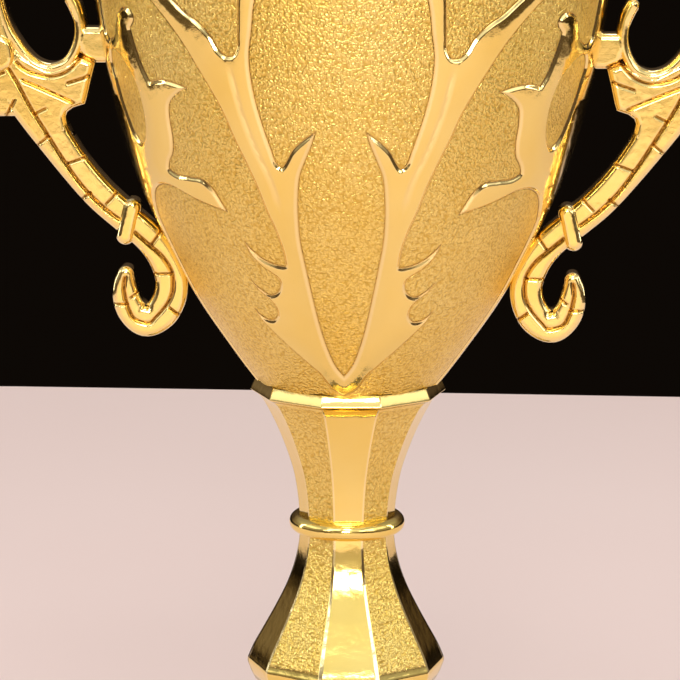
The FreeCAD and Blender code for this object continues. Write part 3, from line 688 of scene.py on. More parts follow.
def bowl_quarter(relief):
    """Flat points and triangles of a quarter of the cup, fine along the relief's edges."""
    width = FLAT_RADIUS * math.pi / 2
    layout = Layout()
    rim = np.linspace(0, BOWL_LENGTH, 160)
    around = np.linspace(0, width, 90)
    for turn in (0.0, width):
        layout.line(columns(turn, rim))
    for arc in (0.0, BOWL_LENGTH):
        layout.line(columns(around, arc))

    def within(points, margin):
        return ((points[:, 0] > margin) & (points[:, 0] < width - margin)
                & (points[:, 1] > margin) & (points[:, 1] < BOWL_LENGTH - margin))

    band = columns(around, arc_at(BAND_BOTTOM))
    lines = [(bowl_layout(line)[0], closed)
             for (line, whole), closed in zip(relief.lines, (False, False, True))]
    for line, closed in lines + [(band, False)]:
        near = np.abs(relief.field(line)[0]) < 0.05
        near |= np.roll(near, 1) | np.roll(near, -1)
        layout.line(line, near & within(line, -1e-6), closed)
        for offset in EDGE_OFFSETS:
            for side in (-1, 1):
                moved = beside(line, side * offset, closed)
                good = np.abs(relief.field(moved)[0] - offset) < 0.03 + 0.05 * abs(offset)
                layout.line(moved, good & within(moved, 0.15), closed)
    line = bowl_layout(smooth(CREASE, 0.8))[0]
    for offset in CREASE_OFFSETS:
        layout.line(beside(line, offset, False))
    for j, arc in enumerate(np.arange(0.7, BOWL_LENGTH - 0.5, GRID_STEP * 0.87)):
        radius = profile_at(np.array([arc]))[1][0]
        count = max(8, int(round(radius * math.pi / 2 / GRID_STEP)))
        turns = (np.arange(count) + 0.25 + 0.5 * (j % 2)) / count
        layout.scatter(columns(turns * width, arc))
    return layout.triangles(0.55, lambda points: within(points, 0.3))


def bowl_half(relief, quarter, name, node, turned):
    """One moulded shell: relief outside, plain inside, with its edges closed."""
    flat, triangles = quarter
    distance, away = relief.field(flat)
    base, normal, side, climb = bowl_frame(flat[:, 0] / FLAT_RADIUS, flat[:, 1])
    height, slope = relief_height(distance)
    away = away - normal * np.einsum("ij,ij->i", away, normal)[:, None]
    depth, rise, _ = relief.crease.cut(base)
    tilt = away * slope[:, None] + rise
    # painted shade along the foot of the relief, and painted highlight on its sloped edges
    painted_shade = OUTLINE_SHADE * np.exp(-((distance - OUTLINE_PLACE) / OUTLINE_SPREAD) ** 2)
    marks = {"grain": step_up((GRAIN_FADE - distance) / (2 * GRAIN_FADE)),
             "edge": painted_highlight(tilt) * (1 - painted_shade), "painted_shade": painted_shade}

    count = len(flat)
    seam = flat[:, 0] < 1e-6
    mirror = np.where(seam, np.arange(count), np.arange(count) + count)
    shell = np.vstack([triangles, mirror[triangles][:, ::-1]])
    used, shell = np.unique(shell, return_inverse=True)
    shell = shell.reshape(-1, 3)
    total = len(used)

    def both_sides(vectors):
        return np.vstack([vectors, vectors * np.array([-1.0, 1.0, 1.0])])[used]

    outer = both_sides(base + normal * (height - depth)[:, None])
    faces = shell.tolist() + (shell[:, ::-1] + total).tolist()
    floor_edges = []
    for a, b in boundary_edges(shell):
        if max(outer[a][2], outer[b][2]) < RIM + BOWL_SHAPE[0][0] + 0.01:
            floor_edges.append((a, b))
        else:
            faces.append((b, a, a + total, b + total))
    points = np.vstack([outer, both_sides(base - normal * BOWL_WALL)])
    normals = np.vstack([both_sides(unit(normal - tilt)), -both_sides(normal)])
    points, normals, faces = with_floor(points, normals, faces, floor_edges, total)
    spin = np.array([-1.0, -1.0, 1.0]) if turned else 1.0
    plain = np.zeros(len(points) - total)
    attributes = {key: np.concatenate([np.tile(values, 2)[used], plain])
                  for key, values in marks.items()}
    piece = make_mesh(name, points * spin, faces, normals * spin, attributes)
    finish_piece(piece, GOLD_GRAINED, [node])


ROD_HOLE = 3.3                          # radius of the hole in the cup's floor
FLOOR_THICKNESS = 2.0


def with_floor(points, normals, faces, floor_edges, total):
    """Adds the shell's flat floor, from its bottom edge in to the hole for the rod."""
    ends = {a for a, b in floor_edges} ^ {b for a, b in floor_edges}
    starts = {a for a, b in floor_edges}
    rim = sorted({v for edge in floor_edges for v in edge})
    place = {v: i for i, v in enumerate(rim)}
    out = unit(points[rim] * np.array([1.0, 1.0, 0.0]))
    base = RIM + BOWL_SHAPE[0][0]
    first = len(points)
    count = len(rim)
    rings = [out * ROD_HOLE + UP * level for level in (base, base + FLOOR_THICKNESS)]
    points = np.vstack([points] + rings)
    normals = np.vstack([normals, out * 0 - UP, out * 0 + UP])
    for a, b in floor_edges:
        under = (first + place[a], first + place[b])
        over = (under[0] + count, under[1] + count)
        faces += [(b, a, *under), (under[1], under[0], *over), (over[1], over[0], a + total, b + total)]
    for v in ends:
        under = first + place[v]
        side = (v, v + total, under + count, under)
        faces.append(side if v in starts else side[::-1])
    return points, normals, faces


def bowl():
    relief = Relief()
    quarter = bowl_quarter(relief)
    bowl_half(relief, quarter, "cup_shell_front", "bowl_front_half", False)
    bowl_half(relief, quarter, "cup_shell_back", "bowl_back_half", True)


FIXING_HEIGHTS = (29.5, 76.0, 117.5)    # of the handle screws, over the calyx rim
SCREW_LANDING = 2.8                     # cup's outside to the face that a washer sits on


def screw_bosses():
    """Moulded rings inside the cup that the washers of the handle screws sit on."""
    ring = [(1.6, BOWL_WALL - 0.3), (4.5, BOWL_WALL - 0.3), (4.3, SCREW_LANDING - 0.5),
            (4.2, SCREW_LANDING - 0.15), (4.0, SCREW_LANDING), (1.6, SCREW_LANDING)]
    count = 40
    spins = 2 * math.pi * np.arange(count) / count
    points = []
    faces = []
    for side in (-1, 1):
        for height in FIXING_HEIGHTS:
            turn = np.array([side * math.pi / 2])
            place, normal, across, climb = bowl_frame(turn, arc_at(np.array([height])))
            start = count * len(points)
            around = np.outer(np.cos(spins), across) + np.outer(np.sin(spins), climb)
            points += [place - normal * depth + radius * around for radius, depth in ring]
            for i in range(len(ring)):
                after = (i + 1) % len(ring)
                faces += ring_faces(start + i * count, start + after * count, count, flip=True)
    piece = make_mesh("cup_screw_bosses", np.vstack(points), faces)
    piece.data.set_sharp_from_angle(angle=math.radians(40))
    finish_piece(piece, GOLD, [])


# ---- handles ----
# Lines are (out from the axis, height above the calyx rim, half width).

ARM = [
    (49.6, 25.0, 1.9), (49.8, 22.8, 2.6), (49.5, 19.8, 3.0), (48.2, 16.8, 3.3), (45.2, 14.5, 3.5),
    (42.0, 16.1, 3.7), (40.0, 19.4, 3.7), (39.4, 23.5, 3.6), (41.0, 28.3, 3.3), (44.2, 33.0, 3.3),
    (49.2, 37.4, 3.4), (55.0, 42.5, 3.5), (61.1, 49.5, 3.6), (64.7, 54.4, 3.9), (69.5, 61.0, 4.2),
    (74.5, 68.2, 4.2), (78.0, 76.0, 3.9), (80.0, 85.0, 3.6), (80.2, 94.0, 3.5), (77.5, 102.0, 3.4),
    (72.6, 107.5, 3.3), (67.0, 111.3, 3.3), (61.8, 115.5, 3.2), (60.6, 120.3, 3.3),
    (62.7, 125.2, 3.3), (67.0, 127.3, 3.1), (71.0, 125.2, 2.8), (71.9, 121.4, 2.4),
    (70.7, 118.6, 1.8),
]
LOOP = [
    (77.6, 87.0, 1.3), (76.6, 82.5, 1.3), (75.2, 79.0, 1.3), (73.4, 76.1, 1.3), (71.6, 73.7, 1.3),
    (69.2, 71.6, 1.3), (65.9, 70.7, 1.3), (62.6, 71.9, 1.3), (60.5, 74.8, 1.3), (59.5, 78.2, 1.4),
    (59.7, 81.8, 1.4), (60.5, 84.3, 1.5), (61.5, 86.2, 1.5),
]
LOWER_COLLAR = [(48.2, 40.0, 2.1), (49.6, 33.8, 2.1)]
UPPER_COLLAR = [(67.0, 107.6, 2.1), (70.2, 112.7, 2.1)]
CABOCHON = [(77.4, 73.5, 3.8), (77.6, 74.7, 3.8)]
WEB = [
    (76.0, 68.0), (74.0, 76.0), (71.6, 73.7), (65.9, 70.7), (61.5, 72.3), (59.0, 73.6),
    (56.2, 72.2), (57.1, 68.6), (58.0, 64.6), (58.5, 63.0), (61.0, 62.2), (62.4, 61.2),
    (62.7, 60.1), (62.3, 58.4), (61.2, 56.2), (66.0, 56.0),
]
BLOCK = [(50.0, 72.2), (56.2, 72.2), (59.0, 73.4), (60.3, 77.0), (59.4, 80.0), (50.0, 80.0)]
SPUR = [(73.2, 60.1), (78.0, 60.0), (82.6, 61.2), (83.2, 63.5), (81.5, 67.0), (81.8, 73.0),
        (76.0, 72.0)]
GROOVES = [
    [(80.4, 84), (78.9, 78), (76.2, 72.5), (73.5, 68), (70.4, 62.2), (67.4, 57.4), (63.2, 50.7),
     (58.6, 44.4), (54.7, 40.5), (49.9, 36.9)],
    [(48.0, 35.2), (43.7, 31.5), (41.6, 29.7), (40, 27.6), (39.2, 26), (38.9, 23.6), (39.2, 21),
     (40.5, 18.4), (42.9, 15.5), (44.2, 14.2), (45.8, 14.4), (47.6, 15.2), (48.7, 17.1), (49.5, 19.7),
     (49.9, 22.8), (49.5, 25.2)],
    [(80.6, 92), (78, 100.5), (73.2, 106.1)],
    [(65.8, 110.6), (61.4, 114.2), (59.6, 119.5), (61, 124.4), (65, 127.4), (69, 127.1), (71.6, 123.6),
     (71.4, 120)],
    [(60.5, 63.2), (65, 65.2), (72.6, 68.4)],
    [(57.2, 69.4), (60.0, 68.4), (62.8, 67.5)],
    [(73.8, 72.6), (71.6, 70.6), (68.5, 69.4), (65.6, 69.1), (62.4, 70.2), (60.2, 72.2), (59.3, 74.0)],
    [(59.3, 73.9), (56.0, 72.5)],
]
CUTS = [
    [(69.6, 53.2), (66.4, 55.9)], [(59.6, 41.7), (56.9, 43.6)], [(62.4, 49.8), (58.0, 51.4)],
    [(54.0, 40.7), (51.2, 43.6)], [(43.8, 31.9), (41.4, 35.3)], [(43.4, 25.3), (39.0, 25.5)],
    [(40.0, 18.0), (36.8, 15.6)], [(52.2, 18.4), (48.7, 18.4)], [(48.6, 19.7), (46.2, 21.6)],
    [(76.0, 59.8), (73.8, 64.2)], [(79.6, 68.6), (75.8, 70.0)], [(66.6, 62.2), (70.0, 60.5)],
    [(77.0, 93.5), (80.4, 94.0)], [(64.2, 116.4), (61.3, 114.9)], [(63.8, 121.4), (60.2, 121.6)],
]
FACE = 3.5                              # half thickness of the moulding
PROUD = 4.2                             # half thickness of collars and cabochon
EDGE = 2.0                              # half height of the straight side wall
ROUNDING = 1.5                          # width of the rounding along each edge
GROOVE = (0.62, 0.8)                    # depth and half width of the long grooves
CUT = (0.52, 0.66)                      # depth and half width of the short cuts across them
ROUNDING_LINES = (0.02, 0.08, 0.2, 0.38, 0.6, 0.9, 1.2, 1.5, 1.9)
PROUD_LINES = (0.02, 0.1, 0.25, 0.45, 0.75, 1.1, 1.7)
GROOVE_LINES = (-1.6, -1.0, -0.75, -0.5, -0.25, 0.0, 0.25, 0.5, 0.75, 1.0, 1.6)
SADDLE_DEPTH = 0.8                      # the moulding runs this far into the cup's wall


def polygon_of_line(line):
    """Outline of a line with round ends and changing width."""
    path = smooth(line, 0.55)
    along = unit(np.gradient(path[:, :2], axis=0))
    left = columns(-along[:, 1], along[:, 0])

    def cap(end, direction):
        start = math.atan2(direction[1], direction[0])
        turns = start + math.pi / 2 - np.linspace(0, math.pi, 13)[1:-1]
        return end[:2] + end[2] * columns(np.cos(turns), np.sin(turns))

    return np.vstack([
        path[:, :2] + left * path[:, 2:], cap(path[-1], along[-1]),
        (path[:, :2] - left * path[:, 2:])[::-1], cap(path[0], -along[0]),
    ])


def divided(points, step=0.6):
    """Corners of a polygon with points added along its sides."""
    result = []
    for a, b in zip(points, points[1:] + points[:1]):
        count = max(1, int(round(math.dist(a, b) / step)))
        result += [(a[0] + (b[0] - a[0]) * i / count, a[1] + (b[1] - a[1]) * i / count)
                   for i in range(count)]
    return np.array(result)


class Moulding:
    """The handle's face: how far inside each of its shapes a point lies, and how high it stands."""

    def __init__(self):
        low_shapes = [polygon_of_line(ARM), polygon_of_line(LOOP), divided(WEB), divided(BLOCK),
                      divided(SPUR)]
        high_shapes = [polygon_of_line(line) for line in (LOWER_COLLAR, UPPER_COLLAR, CABOCHON)]
        self.polygons = low_shapes + high_shapes
        self.low = [Outline(p) for p in low_shapes]
        self.high = [Outline(p) for p in high_shapes]
        self.grooves = [Groove(with_depth(smooth(line, 0.6)), *GROOVE, 0.02) for line in GROOVES]
        self.grooves += [Groove(with_depth(smooth(line, 0.5)), *CUT, 0.02) for line in CUTS]

    def field(self, flat):
        space = with_depth(flat)
        return union([shape.distance(flat, space) for shape in self.low + self.high])

    def face(self, flat):
        """Height of the face over the middle plane, its slope, and the painted shade, 1 at the bottom of a
        groove.
        """
        space = with_depth(flat)
        height, slope = rounded_face(*union([s.distance(flat, space) for s in self.low]), FACE)
        painted_shade = np.zeros(len(flat))
        for groove in self.grooves:
            depth, rise, bottom = groove.cut(space)
            height = height - depth
            slope = slope + rise
            painted_shade = np.maximum(painted_shade, bottom)
        top, top_slope = rounded_face(*union([s.distance(flat, space) for s in self.high]), PROUD)
        over = top > height
        height[over] = top[over]
        slope[over] = top_slope[over]
        painted_shade[over] = 0
        return np.maximum(height, EDGE), slope, painted_shade


def rounded_face(distance, away, top):
    t = np.clip(1 - distance / ROUNDING, 0, 0.9995)
    root = np.sqrt(1 - t * t)
    height = np.where(distance > -0.01, EDGE + (top - EDGE) * root, 0)
    steep = np.where(distance < ROUNDING, (top - EDGE) * t / (root * ROUNDING), 0)
    return height, away * np.minimum(steep, 30.0)[:, None]


def moulding_layout(moulding):
    """Flat points and triangles of the handle's face, out from inside the cup's wall."""
    layout = Layout()
    for polygon in moulding.polygons:
        near = np.abs(moulding.field(polygon)[0]) < 0.03
        near |= np.roll(near, 1) | np.roll(near, -1)
        layout.line(polygon, near, closed=True)
        for offset in ROUNDING_LINES:
            for side in (-1, 1):
                moved = polygon + beside_flat(polygon, side * offset)
                good = np.abs(moulding.field(moved)[0] - offset) < 0.03
                layout.line(moved, good, closed=True)
    for shape in moulding.high:
        for offset in PROUD_LINES:
            moved = shape.flat + beside_flat(shape.flat, offset)
            good = np.abs(shape.distance(moved, with_depth(moved))[0] - offset) < 0.03
            layout.line(moved, good, closed=True)
    for groove in moulding.grooves:
        line = groove.space[:, :2]
        for share in GROOVE_LINES:
            moved = line + beside_flat(line, share * groove.half_width)
            layout.line(moved, moulding.field(moved)[0] > 0.05)
    heights = _shape[::12, 0]
    layout.line(columns(bowl_radius(heights) - SADDLE_DEPTH, heights))
    for j, height in enumerate(np.arange(8.0, 132.0, 0.75)):
        out = np.arange(36.0, 86.0, 0.85) + 0.42 * (j % 2)
        layout.scatter(columns(out, height))
    flat, triangles = layout.triangles(0.33, lambda points: moulding.field(points)[0] > 0.3)
    middle = flat[triangles].mean(axis=1)
    wanted = (moulding.field(middle)[0] > 0) & (middle[:, 0] > bowl_radius(middle[:, 1]) - SADDLE_DEPTH)
    used, numbers = np.unique(triangles[wanted], return_inverse=True)
    return flat[used], numbers.reshape(-1, 3)


def beside_flat(line, offset):
    along = unit(np.gradient(line, axis=0))
    return offset * columns(along[:, 1], -along[:, 0])


def handles():
    moulding = Moulding()
    flat, triangles = moulding_layout(moulding)
    height, slope, painted_shade = moulding.face(flat)
    front = columns(flat[:, 0], -height, RIM + flat[:, 1])
    shade = unit(columns(-slope[:, 0], -1.0, -slope[:, 1]))
    count = len(flat)
    faces = triangles.tolist() + (triangles[:, ::-1] + count).tolist()
    faces += [(b, a, a + count, b + count) for a, b in boundary_edges(triangles)]
    swap = np.array([1.0, -1.0, 1.0])
    points = np.vstack([front, front * swap])
    normals = np.vstack([shade, shade * swap])
    # painted highlight on the sloped edges and painted shade in the grooves
    attributes = {"edge": np.tile(painted_highlight(slope) * (1 - painted_shade), 2), "painted_shade": np.tile(painted_shade, 2)}
    for side, turn in (("right", 1.0), ("left", -1.0)):
        spin = np.array([turn, turn, 1.0])
        piece = make_mesh("handle_moulding_" + side, points * spin, faces, normals * spin, attributes)
        finish_piece(piece, GOLD, ["handle_" + side])


# ---- turned and ten-sided pieces ----

ARC_STEPS = 6                           # chords in each rounded corner


def rounded(corners):
    """Closed outline (r, z) whose corners (r, z, radius) are rounded off with smooth curves."""
    result = []
    count = len(corners)
    for i, (r, z, radius) in enumerate(corners):
        if radius == 0:
            result.append((r, z))
            continue
        before = Vector(corners[i - 1][:2])
        after = Vector(corners[(i + 1) % count][:2])
        corner = Vector((r, z))
        to_before = (before - corner).normalized()
        to_after = (after - corner).normalized()
        half = to_before.angle(to_after) / 2
        reach = min(radius / math.tan(half), 0.49 * (before - corner).length,
                    0.49 * (after - corner).length)
        start = corner + to_before * reach
        end = corner + to_after * reach
        for k in range(ARC_STEPS + 1):
            t = k / ARC_STEPS
            point = start * (1 - t) ** 2 + corner * 2 * t * (1 - t) + end * t * t
            result.append((point.x, point.y))
    return result


def lathe(name, node, outline, material=GOLD, count=128):
    """A closed outline (r, z) turned round the Z axis, standing in for a CAD node."""
    turns = 2 * math.pi * np.arange(count) / count
    points = [(r * math.cos(t), r * math.sin(t), z) for r, z in outline for t in turns]
    faces = []
    for i in range(len(outline)):
        faces += ring_faces(i * count, (i + 1) % len(outline) * count, count)
    piece = make_mesh(name, points, faces)
    piece.data.set_sharp_from_angle(angle=math.radians(40))
    finish_piece(piece, material, [node])


SIDES = 10
HALF_SIDE = math.pi / SIDES             # half the angle that a side takes up
MARGIN = 0.12                           # width of the smooth edge beside a grained side
CORNER_GAP = 0.08                       # between the corner and the first point of a side
WIDEST_BEVEL = 0.14                     # of half a side
BEVEL_DROP = 0.1                        # how far a polished side's bevels fall away
BEVEL_TILT = 0.24
# painted highlight on the calyx lip, as a share of the pale gold
LIP_PAINTED_HIGHLIGHT = 0.35


def side_points(k, height, radius, slope, chamfer):
    """The six points across side k at one height: place, normal, grain share and the painted highlight
    mark of the bevels.
    """
    polished = k % 2 == 0
    half = radius * math.sin(HALF_SIDE)
    turn = -math.pi / 2 + STEM_TURN + k * 2 * HALF_SIDE
    out = np.array([math.cos(turn), math.sin(turn), 0.0])
    side = np.array([-math.sin(turn), math.cos(turn), 0.0])
    normal = out - UP * slope
    normal /= np.linalg.norm(normal)
    bevel = min(chamfer, WIDEST_BEVEL * half) if polished else MARGIN
    for end, shares in ((-1, (0.0, 0.7, 1.1)), (1, (1.1, 0.7, 0.0))):
        for share in shares:
            outermost = share < 0.5
            bevelled = polished and share < 0.9
            face = radius * math.cos(HALF_SIDE) - (BEVEL_DROP if polished and outermost else 0.0)
            across = end * (half - CORNER_GAP - bevel * share)
            leaning = normal + side * (end * BEVEL_TILT if bevelled else 0.0)
            yield (out * face + side * across + UP * height,
                   leaning / np.linalg.norm(leaning), 0.0 if polished or outermost else 1.0,
                   1.0 if bevelled else 0.0)


def ten_sided(name, node, path, hollow, grained_span, chamfer=0.5, lip_highlight_from=math.inf):
    """A flared ten-sided tube. Every other side is grained between smooth margins."""
    heights, radii = np.array(path).T
    slopes = np.gradient(radii * math.cos(HALF_SIDE), heights)
    points = []
    normals = []
    grain = []
    edge = []
    for height, radius, slope in zip(heights, radii, slopes):
        level = float(step_up(min(height - grained_span[0], grained_span[1] - height) / 0.4))
        for k in range(SIDES):
            for point, normal, grained, bevelled in side_points(k, height, radius, slope, chamfer):
                points.append(point)
                normals.append(normal)
                grain.append(grained * level)
                # painted highlight: the bevels of the polished sides and the calyx's lip are coloured
                # paler
                edge.append(LIP_PAINTED_HIGHLIGHT if height > lip_highlight_from else bevelled)
    around = 6 * SIDES
    outer_count = len(points)
    for height, radius in hollow:
        for k in range(around):
            turn = -math.pi / 2 + STEM_TURN - HALF_SIDE + (k + 0.5) * 2 * math.pi / around
            points.append((radius * math.cos(turn), radius * math.sin(turn), height))
            normals.append((-math.cos(turn), -math.sin(turn), 0.0))
    plain = [0.0] * (len(points) - outer_count)
    faces = []
    for i in range(len(path) - 1):
        faces += ring_faces(i * around, (i + 1) * around, around)
    for i in range(len(hollow) - 1):
        start = outer_count + i * around
        faces += ring_faces(start, start + around, around, flip=True)
    faces += ring_faces(outer_count - around, len(points) - around, around)
    faces += ring_faces(0, outer_count, around, flip=True)
    piece = make_mesh(name, points, faces, normals, {"grain": grain + plain, "edge": edge + plain})
    finish_piece(piece, GOLD_GRAINED, [node])


def above(base, stations):
    """Stations (height, radius) moved up from zero to a base height."""
    return [(base + height, radius) for height, radius in stations]


def raised(base, corners):
    """Corners (r, z, radius) moved up from zero to a base height."""
    return [(r, base + z, radius) for r, z, radius in corners]


def curved(stations, step=0.8):
    """Closer stations along a smooth curve through (height, radius) stations."""
    heights = [z for z, r in stations]
    count = max(2, int((heights[-1] - heights[0]) / step))
    at = np.linspace(heights[0], heights[-1], count + 1)
    return list(zip(at.tolist(), hermite(heights, [r for z, r in stations], at)[0].tolist()))


def foot():
    base = low("foot")[2]
    top = high("foot")[2] - base
    band = [(0, 29.9), (0.25, 30.5), (0.6, 30.9), (1.0, 31.0), (2.0, 31.0), (2.5, 30.8), (2.8, 30.4)]
    bell = curved(above(base, [(3.0, 30.1), (4.6, 26.0), (7.6, 18.8), (11.6, 13.8), (top, 10.8)]))
    ten_sided("stem_foot", "foot", above(base, band) + bell,
              above(base, [(0, 24.0), (10.9, 7.2), (top, 3.3)]), (base + 3.8, base + top - 0.4))


def riser():
    base = low("riser")[2]
    top = high("riser")[2] - base
    skirt = [(0, 20.0), (0.3, 20.5), (2.2, 21.45), (2.6, 21.6), (4.2, 22.2), (4.6, 22.3),
             (5.2, 22.28), (5.5, 22.2)]
    bell = curved(above(base, [(5.7, 22.1), (7.9, 21.2), (12.9, 18.5), (17.9, 15.8), (22.9, 13.4),
                               (27.9, 11.7), (32.6, 10.8), (top, 10.6)]))
    ten_sided("stem_riser", "riser", above(base, skirt) + bell,
              above(base, [(0, 16.9), (31.0, 7.1), (top, 3.3)]), (base + 6.6, base + top - 0.4),
              chamfer=1.3)


def calyx():
    base = low("calyx")[2]
    cup = curved(above(base, [(0, 10.7), (2.5, 10.9), (5.0, 11.2), (10.0, 12.1), (15.0, 13.7),
                              (20.0, 15.7), (25.0, 18.2), (26.2, 18.9)]))
    lip = [(26.6, 19.2), (27.2, 19.7), (27.8, 20.3), (28.3, 20.9), (28.4, 21.35), (28.62, 21.68),
           (28.74, 21.8), (28.84, 21.8), (28.96, 21.76), (29.2, 21.66), (31.0, 20.85), (31.2, 20.7)]
    socket = [(0, 3.3), (3.9, 3.4), (4.0, 7.6), (21.7, 10.4), (21.8, 11.6), (31.2, 19.8)]
    ten_sided("stem_calyx", "calyx", cup + above(base, lip), above(base, socket),
              (base + 0.6, base + 27.9), chamfer=0.3, lip_highlight_from=base + 28.6)


def stem_rings():
    for node in ("lower_ring", "stem_ring"):
        middle = (low(node)[2] + high(node)[2]) / 2
        bead = [(11 + 2 * math.cos(a), middle + 2 * math.sin(a))
                for a in np.radians(np.arange(-90, 91, 10))]
        lathe(node + "_bead", node, bead + [(10.0, middle + 1.7), (9.0, middle + 1.5),
                                            (9.0, middle - 1.5), (10.0, middle - 1.7)])


def riser_seat():
    lathe("riser_seat_turned", "riser_seat", rounded(raised(low("riser_seat")[2], [
        (3.3, 0, 0), (10.8, 0, 0.4), (11.4, 1.5, 1.2), (13.4, 3.6, 2.0), (17.1, 5.2, 1.5),
        (19.4, 6.0, 0.8), (19.9, 7.0, 0.2), (16.5, 7.0, 0), (15.5, 10.0, 0.3), (3.3, 10.0, 0)])))


def lip():
    top = high("bowl_rim")[2]
    wide = high("bowl_rim")[0]
    shell_top = RIM + BOWL_SHAPE[-1][0]
    skin = BOWL_SHAPE[-1][1] + 0.02
    inside_skin = BOWL_SHAPE[-1][1] - BOWL_WALL
    lathe("cup_lip", "bowl_rim", rounded([
        (skin, shell_top - 3.0, 0), (skin + 0.9, shell_top - 3.4, 0.3), (skin + 1.2, shell_top - 2.8, 0.3),
        (skin + 1.2, top - 4.6, 0.8), (wide - 0.5, top - 3.2, 0.8), (wide, top - 2.0, 1.2),
        (wide - 0.3, top - 0.7, 1.0), (wide - 1.4, top, 0.9), (wide - 2.9, top - 0.5, 0.8),
        (inside_skin + 0.3, top - 3.2, 1.5), (inside_skin, shell_top + 0.02, 0),
        (skin, shell_top + 0.02, 0)]), count=192)


def base_cover():
    top = high("base_cover")[2]
    bottom = low("base_cover")[2]
    step = low("base_trim_ring")[2]
    lathe("base_moulding", "base_cover", rounded([
        (3.3, top, 0), (35.5, top, 1.6), (35.5, top - 5.5, 0.6), (37.0, top - 7.0, 0.5),
        (37.0, step, 0.3), (42.0, step, 1.1), (42.0, bottom, 1.0), (39.4, bottom, 0.3),
        (39.4, step - 2.0, 0.8), (34.4, step, 0.8), (34.4, top - 8.5, 0.6), (32.9, top - 3.2, 0.6),
        (7.3, top - 3.2, 0.3), (7.3, bottom + 24.3, 0), (3.3, bottom + 24.3, 0)]),
        BLACK, 192)


def base_trim():
    lathe("base_bead", "base_trim_ring", rounded(raised(low("base_trim_ring")[2], [
        (37.05, 0, 0), (40.0, 0, 0.4), (40.6, 0.7, 0.5), (40.0, 1.4, 0.5), (38.2, 2.2, 0.5),
        (37.05, 2.2, 0)])), count=192)


def name_plate():
    """Blank plate bent round the drum, with rounded corners and a line sunk along its border."""
    inner = 37.3
    thick = 0.8
    corner = 1.6
    low_edge = low("name_plate")[2]
    height = high("name_plate")[2] - low_edge
    width = inner * math.radians(68.0)
    rows = 57
    across = 161
    u, v = [axis.ravel() for axis in np.meshgrid(
        np.linspace(-width / 2, width / 2, across), np.linspace(0, height, rows) - height / 2)]
    past_u = np.maximum(np.abs(u) - (width / 2 - corner), 0)
    past_v = np.maximum(np.abs(v) - (height / 2 - corner), 0)
    reach = np.hypot(past_u, past_v)
    scale = corner / np.maximum(reach, corner)
    turn = np.copysign(np.abs(u) + past_u * (scale - 1), u) / inner
    up = low_edge + height / 2 + np.copysign(np.abs(v) + past_v * (scale - 1), v)
    straight = np.minimum(width / 2 - np.abs(u), height / 2 - np.abs(v))
    edge = np.where(reach > 0, corner - reach * scale, straight)
    fall = 0.25 * (1 - step_up(edge / 0.3))                                     # rounded edge
    border = 0.14 * step_up((edge - 1.0) / 0.2) * step_up((1.6 - edge) / 0.2)   # sunk line
    points = np.vstack([columns(r * np.sin(turn), -r * np.cos(turn), up)
                        for r in (inner + thick - fall - border, inner)])
    grid = np.arange(rows * across).reshape(rows, across)
    quads = np.stack([grid[:-1, :-1], grid[:-1, 1:], grid[1:, 1:], grid[1:, :-1]], axis=2).reshape(-1, 4)
    ring = np.concatenate([grid[0, :-1], grid[:-1, -1], grid[-1, :0:-1], grid[:0:-1, 0]])
    after = np.roll(ring, -1)
    sides = columns(after, ring, ring + grid.size, after + grid.size)
    faces = np.vstack([quads, quads[:, ::-1] + grid.size, sides])
    piece = make_mesh("name_plate_blank", points, faces.tolist())
    piece.data.set_sharp_from_angle(angle=math.radians(50))
    finish_piece(piece, PLATE, ["name_plate"])


def carried_over():
    """Materials of the CAD nodes that keep their own shape."""
    steel = ("base_plate_screws", "handle_washers", "handle_screws", "tie_rod", "bottom_washer",
             "bottom_nut", "top_washer", "top_nut")
    looks = {"felt_pad": FELT, "base_plate": BOARD, "base_weight": WEIGHT, "plate_tape": TAPE,
             "bowl_spreader": SPREADER, **dict.fromkeys(steel, STEEL)}
    for name, material in looks.items():
        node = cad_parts[name]
        for i in range(len(node.data.materials)):
            node.data.materials[i] = material


# ---- studio ----

TARGET_HEIGHT = 10.45                   # over the calyx rim, where the camera looks
TARGET_SHIFT = 1.9                      # and how far left of the trophy's axis
CAMERA_DISTANCE = 825.47
CAMERA_YAW, CAMERA_PITCH, CAMERA_ROLL = np.radians([2.3, 11.0, 0.45])


def camera():
    level = math.cos(CAMERA_PITCH)
    forward = Vector((-math.sin(CAMERA_YAW) * level, math.cos(CAMERA_YAW) * level,
                      -math.sin(CAMERA_PITCH)))
    right = Vector((math.cos(CAMERA_YAW), math.sin(CAMERA_YAW), 0))
    up = right.cross(forward)
    target = (Vector((0, 0, RIM + TARGET_HEIGHT)) - right * TARGET_SHIFT) * MM
    turned_right = right * math.cos(CAMERA_ROLL) + up * math.sin(CAMERA_ROLL)
    turned_up = up * math.cos(CAMERA_ROLL) - right * math.sin(CAMERA_ROLL)
    place = Matrix([turned_right, turned_up, -forward]).transposed().to_4x4()
    place.translation = target - forward * CAMERA_DISTANCE * MM
    lens = bpy.data.cameras.new("camera")
    lens.sensor_width = 36.0
    lens.lens = 195.9
    lens.clip_start = 0.01
    eye = bpy.data.objects.new("camera", lens)
    eye.matrix_world = place
    bpy.context.scene.collection.objects.link(eye)
    bpy.context.scene.camera = eye


